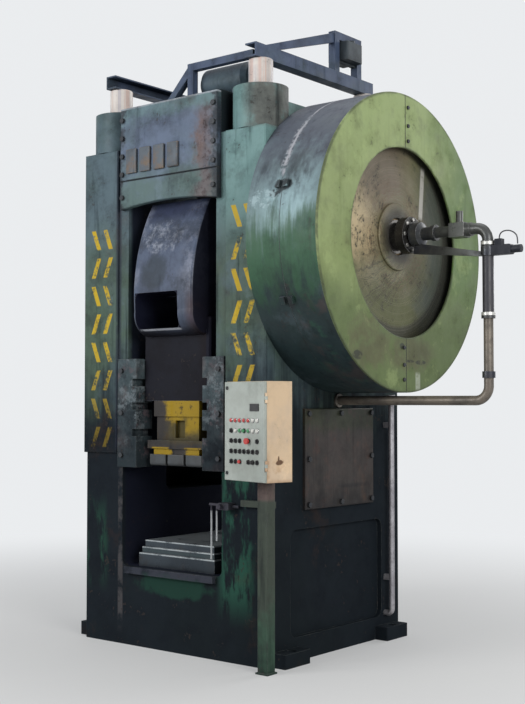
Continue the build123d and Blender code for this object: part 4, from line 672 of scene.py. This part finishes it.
frame_paint = painted(
    "frame_paint", (0.088, 0.132, 0.158), (0.066, 0.106, 0.102), low=(1.30, 2.25), low_amount=0.94,
    gloss=0.16, streaks=0.7, rust=0.22, chips=0.7, edge=0.45, second_scale=0.9, zones=frame_zones,
    marks=frame_marks)
cover_paint = painted(
    "cover_paint", (0.115, 0.158, 0.222), (0.102, 0.150, 0.172), streaks=0.30, rust=0.25, chips=0.6,
    edge=0.5, zones=cover_zones, second_scale=2.2, corner_dirt_and_shade=0.9, shift=4.0)
plate_paint = painted(
    "plate_paint", (0.098, 0.118, 0.140), (0.150, 0.112, 0.085), second_range=(0.48, 0.62),
    second_scale=7.0, streaks=0.4, rust=0.5, edge=1.0, edge_color=(0.42, 0.28, 0.16), bevel=0.012,
    shift=4.0)
gib_paint = painted(
    "gib_paint", (0.100, 0.140, 0.155), (0.125, 0.115, 0.120), low=(1.15, 2.45), low_amount=0.80,
    streaks=0.7, mottle=0.85, rust=0.4, gloss=0.14, chips=0.8, edge=0.7, second_scale=3.4, shift=2.0,
    marks=gib_marks)
guard_paint = painted(
    "guard_paint", (0.090, 0.122, 0.148), (0.080, 0.118, 0.122), streaks=0.35, mottle=0.35, rust=0.12,
    chips=0.5, edge=0.55, dust=0.75, second_scale=1.1, fade=0.15, shift=7.0, zones=guard_zones,
    marks=guard_marks)
ring_paint = painted(
    "ring_paint", (0.260, 0.325, 0.140), (0.215, 0.280, 0.112), second_range=(0.42, 0.62),
    streaks=0.22, mottle=0.35, rust=0.18, chips=0.4, edge=0.35, edge_color=(0.40, 0.46, 0.30),
    corner_dirt_and_shade=0.5, grime_and_shade=(0.060, 0.068, 0.038), shift=1.0, zones=ring_zones, marks=ring_marks)
housing_paint = painted(
    "housing_paint", (0.085, 0.120, 0.138), (0.066, 0.100, 0.100), streaks=0.5, rust=0.25, chips=0.55,
    edge=0.5, dust=0.6, second_scale=1.4, shift=2.5)
dark_paint = painted(
    "dark_paint", (0.058, 0.072, 0.084), (0.036, 0.044, 0.050), streaks=0.4, rust=0.4, chips=0.5,
    edge=0.5, second_scale=3.0)
beam_paint = painted(
    "beam_paint", (0.064, 0.090, 0.155), (0.052, 0.078, 0.115), streaks=0.35, rust=0.2, chips=0.5,
    edge=0.5, second_scale=3.0, shift=8.0)
motor_paint = painted(
    "motor_paint", (0.075, 0.110, 0.140), (0.055, 0.085, 0.100), streaks=0.4, rust=0.3, chips=0.5,
    edge=0.5, dust=0.5, second_scale=3.0)
white_paint = painted(
    "white_paint", (0.700, 0.650, 0.610), (0.600, 0.560, 0.550), streaks=0.2, mottle=0.25, rust=0.15,
    chips=0.3, edge=0.3, grime_and_shade=(0.16, 0.14, 0.14), edge_color=(0.75, 0.72, 0.68), second_scale=6.0,
    zones=cap_zones, rough=(0.30, 0.55))
side_paint = painted(
    "side_paint", (0.030, 0.026, 0.024), (0.038, 0.030, 0.028), streaks=0.45, rust=0.5, chips=0.6,
    edge=0.5, low=(0.85, 1.25), low_amount=0.4, second_scale=2.6, zones=side_zones, shift=6.0)
box_paint = painted(
    "box_paint", (0.430, 0.470, 0.438), (0.350, 0.388, 0.360), streaks=0.12, mottle=0.22, rust=0.08,
    chips=0.12, edge=0.3, corner_dirt_and_shade=0.45, grime_and_shade=(0.16, 0.15, 0.13), edge_color=(0.62, 0.62, 0.56),
    bevel=0.002, second_scale=3.5, rough=(0.35, 0.6))
box_side = painted(
    "box_side", (0.700, 0.530, 0.360), (0.640, 0.500, 0.365), streaks=0.12, mottle=0.18, rust=0.25,
    chips=0.22, edge=0.3, corner_dirt_and_shade=0.4, grime_and_shade=(0.20, 0.15, 0.11), edge_color=(0.70, 0.62, 0.50),
    bevel=0.002, second_scale=3.5, marks=box_side_marks, rough=(0.35, 0.6))
post_paint = painted(
    "post_paint", (0.042, 0.055, 0.042), (0.034, 0.042, 0.036), streaks=0.5, rust=0.3, chips=0.6,
    edge=0.6, low=(0.0, 0.5), low_amount=0.6, second_scale=2.5, zones=post_zones, shift=3.0)
holder_paint = painted(
    "holder_paint", (0.040, 0.032, 0.026), (0.028, 0.025, 0.024), second_range=(0.38, 0.52),
    second_scale=4.5, streaks=0.5, rust=0.5, chips=0.8, edge=0.5, marks=holder_zones, shift=5.0)
valve_paint = painted(
    "valve_paint", (0.014, 0.016, 0.024), (0.026, 0.029, 0.038), streaks=0.3, rust=0.15, chips=0.3,
    edge=0.6, edge_color=(0.10, 0.11, 0.13), second_scale=9.0, bevel=0.002)
spray_paint = painted(
    "spray_paint", (0.040, 0.036, 0.052), (0.028, 0.030, 0.040), streaks=0.4, rust=0.3, chips=0.4,
    edge=0.6, second_scale=6.0, bevel=0.002, marks=spray_marks)
nose_paint = painted(
    "nose_paint", (0.078, 0.102, 0.160), (0.052, 0.068, 0.105), second_range=(0.46, 0.58),
    second_scale=4.2, streaks=0.4, mottle=0.5, rust=0.12, chips=0.7, edge=0.7,
    edge_color=(0.26, 0.28, 0.34), zones=ram_zones, marks=ram_marks, rough=(0.34, 0.62), shift=3.0)


# Bare metal

die_steel = steel("die_steel", (0.042, 0.055, 0.068), (0.026, 0.035, 0.045), metallic=0.45, rust=0.2,
                  stains=0.6, rough=(0.24, 0.5), brush=(1, 20, 20), edge=0.8, zones=bolster_zones)
bolt_steel = steel("bolt_steel", (0.024, 0.028, 0.034), (0.042, 0.046, 0.052), metallic=0.4,
                   rough=(0.4, 0.65), rust=0.35, edge_color=(0.26, 0.26, 0.25))
rod_steel = steel("rod_steel", (0.34, 0.34, 0.33), (0.25, 0.25, 0.25), rough=(0.3, 0.5), rust=0.3)
shaft_steel = steel("shaft_steel", (0.30, 0.29, 0.27), (0.20, 0.19, 0.18), rough=(0.3, 0.5), rust=0.1)
pipe_steel = steel("pipe_steel", (0.190, 0.165, 0.138), (0.110, 0.098, 0.085), metallic=0.35,
                   rough=(0.35, 0.55), rust=0.35, stains=0.55, scale=12, zones=coupling_marks)
bright_pipe = steel("bright_pipe", (0.46, 0.45, 0.48), (0.32, 0.31, 0.34), metallic=0.6,
                    rough=(0.25, 0.45), rust=0.3, stains=0.6, scale=10)
iron = steel("iron", (0.135, 0.135, 0.125), (0.085, 0.087, 0.080), metallic=0.5, rough=(0.35, 0.6),
             rust=0.25)
hub_steel = steel("hub_steel", (0.030, 0.030, 0.030), (0.085, 0.082, 0.075), metallic=0.6,
                  rough=(0.20, 0.42), rust=0.1, stain=(0.007, 0.007, 0.008), stains=0.85, scale=7, edge=0.9)
union_steel = steel("union_steel", (0.034, 0.038, 0.052), (0.084, 0.088, 0.086), metallic=0.5,
                    rough=(0.25, 0.5), rust=0.15, scale=9, edge=0.7, zones=coupling_marks)
clamp_steel = steel("clamp_steel", (0.068, 0.074, 0.078), (0.042, 0.048, 0.052), metallic=0.4,
                    rough=(0.3, 0.5), rust=0.15, scale=8, edge=0.8)
bright_steel = steel("bright_steel", (0.50, 0.49, 0.46), (0.34, 0.33, 0.31), rough=(0.25, 0.45),
                     rust=0.1, scale=14)
bronze = steel("bronze", (0.42, 0.27, 0.10), (0.30, 0.19, 0.08), rust=0.0, rough=(0.3, 0.5))
chrome = steel("chrome", (0.62, 0.62, 0.62), (0.50, 0.50, 0.50), rough=(0.12, 0.28), rust=0.0)


# Lining, rubber and plastic

lining = smooth("lining", (0.070, 0.055, 0.045), (0.045, 0.038, 0.032), rough=(0.6, 0.8))
rubber = smooth("rubber", (0.022, 0.022, 0.030), (0.034, 0.034, 0.042), rough=(0.35, 0.6), scale=9)
black_plastic = smooth("black_plastic", (0.018, 0.018, 0.020), (0.038, 0.036, 0.036), rough=(0.3, 0.5))
red_plastic = smooth("red_plastic", (0.50, 0.025, 0.020), (0.38, 0.03, 0.025), coat=0.4)
green_plastic = smooth("green_plastic", (0.02, 0.22, 0.07), (0.03, 0.16, 0.06), coat=0.4)
white_plastic = smooth("white_plastic", (0.62, 0.62, 0.58), (0.50, 0.50, 0.46), coat=0.4)


# The turned face of the flywheel and its finish

def flywheel_iron():
    """Rings from the lathe, oil, dust and pinkish rust bloom, and painted shade round the rim inside the
    guard's ring.
    """
    p = Paint("flywheel_iron")
    p.middle = p.noise(9, 9, 0.7, shift=4.0)
    broad = p.noise(2.3, 8, 0.68)
    fine = p.noise(60, 5, 0.6)
    radius = p.radius(SHAFT_HEIGHT)
    y, z = p.axis("Y"), p.axis("Z")
    across = p.waver(y, broad, 0.8)
    height = p.waver(z, broad, 0.8)
    lines = p.line_noise(p.math("MULTIPLY", radius, 130.0), 3)
    arcs = p.line_noise(p.math("MULTIPLY_ADD", broad, 9.0, p.math("MULTIPLY", radius, 22.0)), 2)
    p.color = p.mix((0.135, 0.138, 0.074), (0.190, 0.174, 0.104), p.ramp(broad, 0.42, 0.60))
    p.stain((0.120, 0.095, 0.070), p.ramp(height, 2.84, 3.06), p.ramp(y, 0.25, -0.05), 0.85)
    left = p.both(p.ramp(across, -0.14, -0.42), p.between(z, 2.50, 2.92, 0.20))
    p.stain((0.500, 0.400, 0.245), left, p.ramp(p.middle, 0.66, 0.44, 0.6, 1.0))
    p.stain((0.084, 0.092, 0.036), p.ramp(height, 2.62, 2.36), 0.92)
    p.stain((0.180, 0.190, 0.105), p.blot("YZ", (-0.10, 2.50), (0.20, 0.10), 1.1), 0.6)
    p.stain((0.066, 0.080, 0.070), p.ramp(across, 0.16, 0.46), 0.92)
    p.stain((0.070, 0.072, 0.055), p.ramp(p.middle, 0.50, 0.70, 0.0, 0.65))
    p.stain((0.125, 0.075, 0.048), p.ramp(arcs, 0.50, 0.58), p.ramp(radius, 0.45, 0.30), 0.75)
    # Painted shade round the rim, where the face is sunk inside the guard's ring; the hub's black is oily
    # metal
    rim = p.ramp(radius, 0.565, 0.60, 0.0, 0.75)
    hub = p.both(p.ramp(radius, 0.13, 0.24, 1.0, 0.0), p.ramp(p.middle, 0.20, 0.40), 0.93)
    p.stain((0.030, 0.030, 0.026), p.either(rim, hub))
    p.stain((0.42, 0.37, 0.29), p.ramp(lines, 0.60, 0.70, 0.0, 0.30))
    slant = p.math("MULTIPLY_ADD", z, -0.095, y)
    rub = p.both(p.between(slant, 0.004, 0.050, 0.006), p.between(z, 2.86, 3.20, 0.02))
    p.stain((0.50, 0.49, 0.46), rub, p.ramp(p.middle, 0.28, 0.44), 0.85)
    wound = p.math("MULTIPLY", p.math("ADD", radius, y), 16.0)
    swirl = p.line_noise(p.math("MULTIPLY_ADD", p.middle, 1.5, wound), 2)
    scrawl = p.both(p.between(swirl, 0.475, 0.525, 0.012), p.blot("YZ", (-0.16, 2.46), (0.32, 0.24), 0.8))
    p.stain((0.042, 0.036, 0.028), scrawl, 0.8)
    dots = p.math("MULTIPLY_ADD", p.middle, 0.5, p.math("MULTIPLY", fine, 0.5))
    spots = p.ramp(p.math("MULTIPLY_ADD", left, 0.04, dots), 0.580, 0.610, 0.0, 0.85)
    p.stain((0.030, 0.027, 0.024), spots)
    relief = p.math("MULTIPLY_ADD", lines, 0.4, p.math("MULTIPLY_ADD", spots, -0.4, p.middle))
    rough = p.ramp(p.middle, 0.3, 0.7, 0.40, 0.66)
    return p.finish(rough, relief, p.rounded(0.004), depth=0.0012, strength=0.4, gloss=0.3, metallic=0.1)


face_iron = flywheel_iron()


# The finish of each CAD node

finishes = {
    "press_frame": frame_paint, "crown_cover_upper": cover_paint, "crown_cover_lower": cover_paint,
    "frame_bolts": bolt_steel, "tie_rods": rod_steel, "tie_rod_nuts": rod_steel,
    "tie_rod_caps": white_paint, "ram_gibs": gib_paint, "bolster": die_steel, "guard_drum": guard_paint,
    "guard_shell": guard_paint, "guard_ring": ring_paint, "guard_lugs": guard_paint,
    "shaft_bushes": bronze, "brake_housing": housing_paint, "motor": motor_paint,
    "motor_bracket": housing_paint, "belt_guard": housing_paint, "vee_belts": rubber,
    "top_beams": beam_paint, "top_frame": beam_paint, "lube_tank": dark_paint, "air_tank": motor_paint,
    "rotary_union": union_steel, "air_fittings": union_steel, "solenoid_valve": valve_paint,
    "air_hose": rubber, "air_pipe": pipe_steel, "side_covers": side_paint, "oil_pipe": bright_pipe,
    "control_box": box_side, "box_post": post_paint, "spray_valve": spray_paint,
    "eccentric_shaft": shaft_steel, "clutch_disc": lining, "brake_disc": iron, "union_spindle": hub_steel,
    "flywheel": face_iron, "flywheel_bush": bronze, "clutch_plate": iron, "clutch_cover": face_iron,
    "clutch_piston": iron, "motor_rotor": iron, "pitman": iron, "pitman_cap": iron,
    "pitman_bolts": bolt_steel, "ram": nose_paint, "wrist_pin": rod_steel,
    "upper_die_holder": holder_paint, "die_clamps": clamp_steel, "ejector_pin": die_steel,
    "control_door": box_paint, "black_controls": black_plastic, "door_lamps": white_plastic,
    "emergency_stop": red_plastic, "start_button": green_plastic, "stop_button": red_plastic,
    "mode_selector": black_plastic, "lower_lock": bolt_steel, "upper_lock": bolt_steel,
}
for name, material in finishes.items():
    for slot in nodes[name].material_slots:
        slot.material = material


# Mesh helpers

SHARP_TURN = math.radians(35)
FRONT = Matrix.Rotation(math.radians(90), 4, "X")


def at(x, y, z):
    """The place x, y, z as a matrix."""
    return Matrix.Translation((x, y, z))


def add_piece(name, data, material, body="frame"):
    """A new object of the mesh or curve, which rides on a body."""
    piece = bpy.data.objects.new(name, data)
    bpy.context.scene.collection.objects.link(piece)
    data.materials.append(material)
    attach(piece, body)
    return piece


def add_mesh(name, work, material, body="frame"):
    """A piece of the bmesh, shaded smooth but for its sharp edges."""
    bmesh.ops.recalc_face_normals(work, faces=work.faces)
    mesh = bpy.data.meshes.new(name)
    work.to_mesh(mesh)
    work.free()
    for face in mesh.polygons:
        face.use_smooth = True
    mesh.set_sharp_from_angle(angle=SHARP_TURN)
    return add_piece(name, mesh, material, body)


def circle(radius, steps, start=0.0):
    """Points round a circle, from a start counted in steps."""
    turns = [math.tau * (i + start) / steps for i in range(steps)]
    return [(radius * math.cos(turn), radius * math.sin(turn)) for turn in turns]


def lathe(name, profile, place, material, body="frame", steps=28):
    """A surface turned about local Z from points (radius, height), closed where the radius is 0."""
    work = bmesh.new()
    rings = []
    for radius, height in profile:
        spots = circle(radius, steps) if radius else [(0.0, 0.0)]
        rings.append([work.verts.new((x, y, height)) for x, y in spots])
    for low, high in zip(rings, rings[1:]):
        for i in range(steps):
            j = (i + 1) % steps
            corners = [low[i % len(low)], low[j % len(low)], high[j % len(high)], high[i % len(high)]]
            work.faces.new(list(dict.fromkeys(corners)))
    work.transform(place)
    return add_mesh(name, work, material, body)


def slab(name, size, place, material, round_by):
    """A block with rounded edges."""
    work = bmesh.new()
    bmesh.ops.create_cube(work, size=1.0)
    bmesh.ops.scale(work, vec=size, verts=work.verts)
    bmesh.ops.bevel(work, geom=list(work.edges), offset=round_by, segments=3, affect="EDGES", profile=0.6)
    work.transform(place)
    return add_mesh(name, work, material)


def pipe(name, points, radius, material):
    """A round tube on one smooth line drawn by the points."""
    curve = bpy.data.curves.new(name, "CURVE")
    curve.dimensions = "3D"
    curve.bevel_depth = radius
    curve.bevel_resolution = 5
    curve.use_fill_caps = True
    line = curve.splines.new("NURBS")
    line.points.add(len(points) - 1)
    for point, target in zip(points, line.points):
        target.co = (*point, 1)
    line.order_u = 3
    line.use_endpoint_u = True
    line.resolution_u = 10
    return add_piece(name, curve, material)


def bolt_heads(name, places, radius, height, material, body="frame"):
    """Hexagon heads with chamfered tops on faces that look along +X, one piece."""
    sides = 6
    work = bmesh.new()
    for x, y, z in places:
        rings = [[work.verts.new((x + rise * height, y + across, z + up))
                  for across, up in circle(reach * radius, sides, start=0.2)]
                 for reach, rise in ((1.0, 0.0), (1.0, 0.78), (0.86, 1.0))]
        for low, high in zip(rings, rings[1:]):
            for i in range(sides):
                j = (i + 1) % sides
                work.faces.new([low[i], low[j], high[j], high[i]])
        work.faces.new(rings[-1])
        work.faces.new(rings[0][::-1])
    return add_mesh(name, work, material, body)


# Raised blank plates on the crown's cover, in place of its raised characters

PLATE_SIZE = (0.095, 0.018, 0.165)
PLATE_PITCH = 0.128
PLATES_LEFT = -0.322

for i in range(4):
    place = at(PLATES_LEFT + PLATE_PITCH * i, COVER_LOW.y - 0.008, COVER_LOW.z + 0.128)
    slab(f"blank_plate_{i}", PLATE_SIZE, place, plate_paint, 0.005)


# Bolts of the guard's ring, above and below on either side of its split

RING_BOLTS = {0.030: (0.663, 0.763, 0.883), -0.030: (-0.882, -0.787, -0.677)}

ring_places = [(RING_HIGH.x, y, GUARD_HEIGHT + height)
               for y, heights in RING_BOLTS.items() for height in heights]
bolt_heads("ring_bolts", ring_places, 0.014, 0.010, bolt_steel)


# Bolts round the flange on the shaft's end, whose face is 12 mm before the union

FLANGE_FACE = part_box("rotary_union")[0].x - 0.012
BOLT_CIRCLE = 0.098

flange_places = [(FLANGE_FACE, across, SHAFT_HEIGHT + up) for across, up in circle(BOLT_CIRCLE, 8)]
bolt_heads("flange_bolts", flange_places, 0.013, 0.009, bright_steel, "crank")


# The valve's lead, in a loop from its coil to its end, by points from the valve's upper right corner

VALVE_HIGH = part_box("solenoid_valve")[1]
LEAD_LINE = [(-0.1475, 0.0, 0.0), (-0.1475, 0.0, 0.028), (-0.115, -0.004, 0.048), (-0.065, -0.008, 0.044),
             (-0.029, -0.006, 0.018), (-0.025, 0.0, -0.012), (-0.025, 0.0, -0.039)]

lead_route = [(round(VALVE_HIGH.x + x, 4), y, round(VALVE_HIGH.z + z, 4)) for x, y, z in LEAD_LINE]
lead = pipe("valve_lead", lead_route, 0.004, rubber)


# Lamps and lit push buttons on the operator's door, by each row's height over the hinge's place

LAMP_RING = [(0.0, 0.0), (0.0150, 0.0), (0.0152, 0.003), (0.0140, 0.0048), (0.0118, 0.0048)]
LAMP_LENS = [(0.0115, 0.004), (0.0114, 0.008), (0.0095, 0.0105), (0.0060, 0.0120), (0.0, 0.0126)]
LAMP_ROWS = {0.066: ["red"] * 5 + ["white"] * 2,
             0.004: ["", "white", "green", "", "green", "white", "white"]}
LAMP_PITCH = 0.043
LAMPS_LEFT = -0.333
DOOR_FACE = -0.010

lens_finish = {"red": red_plastic, "white": white_plastic, "green": green_plastic}
lenses = []
for height, row in LAMP_ROWS.items():
    for column, tone in enumerate(row):
        if tone:
            place = DOOR @ at(LAMPS_LEFT + LAMP_PITCH * column, DOOR_FACE, height) @ FRONT
            lathe(f"lamp_bezel_{len(lenses)}", LAMP_RING, place, chrome, "door")
            lenses.append(lathe(f"lamp_lens_{len(lenses)}", LAMP_LENS, place, lens_finish[tone], "door"))
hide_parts("door_lamps")


# The background's colour, how bright it is seen, and how much of it falls on the object

PALE = (0.96, 0.98, 1.0)
GLOW = 0.86
FILL = 0.25


# Floor with the object's shadow, which fades into the background far off

work = bmesh.new()
bmesh.ops.create_grid(work, x_segments=1, y_segments=1, size=60)
floor_mesh = bpy.data.meshes.new("floor")
work.to_mesh(floor_mesh)
work.free()
floor = bpy.data.objects.new("floor", floor_mesh)
bpy.context.scene.collection.objects.link(floor)
paint = Paint("floor_paint")
floor_mesh.materials.append(paint.material)
tone = paint.mix((0.60, 0.60, 0.60), (0.64, 0.64, 0.63), paint.noise(0.8, 4))
paint.put(tone, paint.shader.inputs["Base Color"])
paint.put(0.75, paint.shader.inputs["Roughness"])
distance = paint.add("ShaderNodeVectorMath", operation="LENGTH")
paint.put(paint.place, distance.inputs[0])
far = paint.both(paint.background_rays(), paint.ramp(distance.outputs["Value"], 1.5, 7.0, 0.30, 1.0))
glow = paint.add("ShaderNodeEmission")
paint.put(PALE, glow.inputs["Color"])
paint.put(GLOW, glow.inputs["Strength"])
blend = paint.add("ShaderNodeMixShader")
paint.put(far, blend.inputs[0])
paint.put(paint.shader.outputs[0], blend.inputs[1])
paint.put(glow.outputs[0], blend.inputs[2])
paint.put(blend.outputs[0], paint.tree.nodes["Material Output"].inputs["Surface"])


# Background

world = bpy.data.worlds.new("studio")
bpy.context.scene.world = world
world.use_nodes = True
sky = Nodes(world.node_tree)
background = sky.tree.nodes["Background"]
sky.put(PALE, background.inputs["Color"])
sky.put(sky.math("MULTIPLY_ADD", sky.background_rays(), GLOW - FILL, FILL), background.inputs["Strength"])


# Lamps

def lamp(name, place, target, size, watts, color=(1, 1, 1)):
    """A soft rectangular lamp at the place, turned to the target."""
    light = bpy.data.lights.new(name, "AREA")
    light.shape = "RECTANGLE"
    light.size, light.size_y = size
    light.energy = watts
    light.color = color
    thing = bpy.data.objects.new(name, light)
    bpy.context.scene.collection.objects.link(thing)
    thing.location = place
    thing.rotation_euler = (Vector(target) - Vector(place)).to_track_quat("-Z", "Y").to_euler()


lamp("key", (-3.0, -8.5, 4.4), (0.3, 0, 2.0), (4.0, 4.0), 465)
lamp("side", (8.5, -3.6, 4.2), (0.6, 0, 2.2), (4.0, 3.5), 400, (1.0, 0.985, 0.95))
lamp("top_soft", (0.5, 0.5, 8.5), (0, 0, 2.0), (5.0, 5.0), 100)
lamp("rear_soft", (2.0, 8.0, 5.0), (0, 0, 2.0), (5.0, 4.0), 250)


# Camera at the photo's eye height, tilted up a little

camera_data = bpy.data.cameras.new("camera")
camera_data.sensor_fit = "VERTICAL"
camera_data.sensor_height = 36
camera_data.lens = 61.36
camera = bpy.data.objects.new("camera", camera_data)
bpy.context.scene.collection.objects.link(camera)
camera.location = (5.483, -6.560, 1.654)
tilt = math.radians(2.3)
heading = Vector((-0.629 * math.cos(tilt), 0.777 * math.cos(tilt), math.sin(tilt)))
camera.rotation_euler = heading.to_track_quat("-Z", "Y").to_euler()
bpy.context.scene.camera = camera
bpy.context.scene.view_settings.view_transform = "Standard"
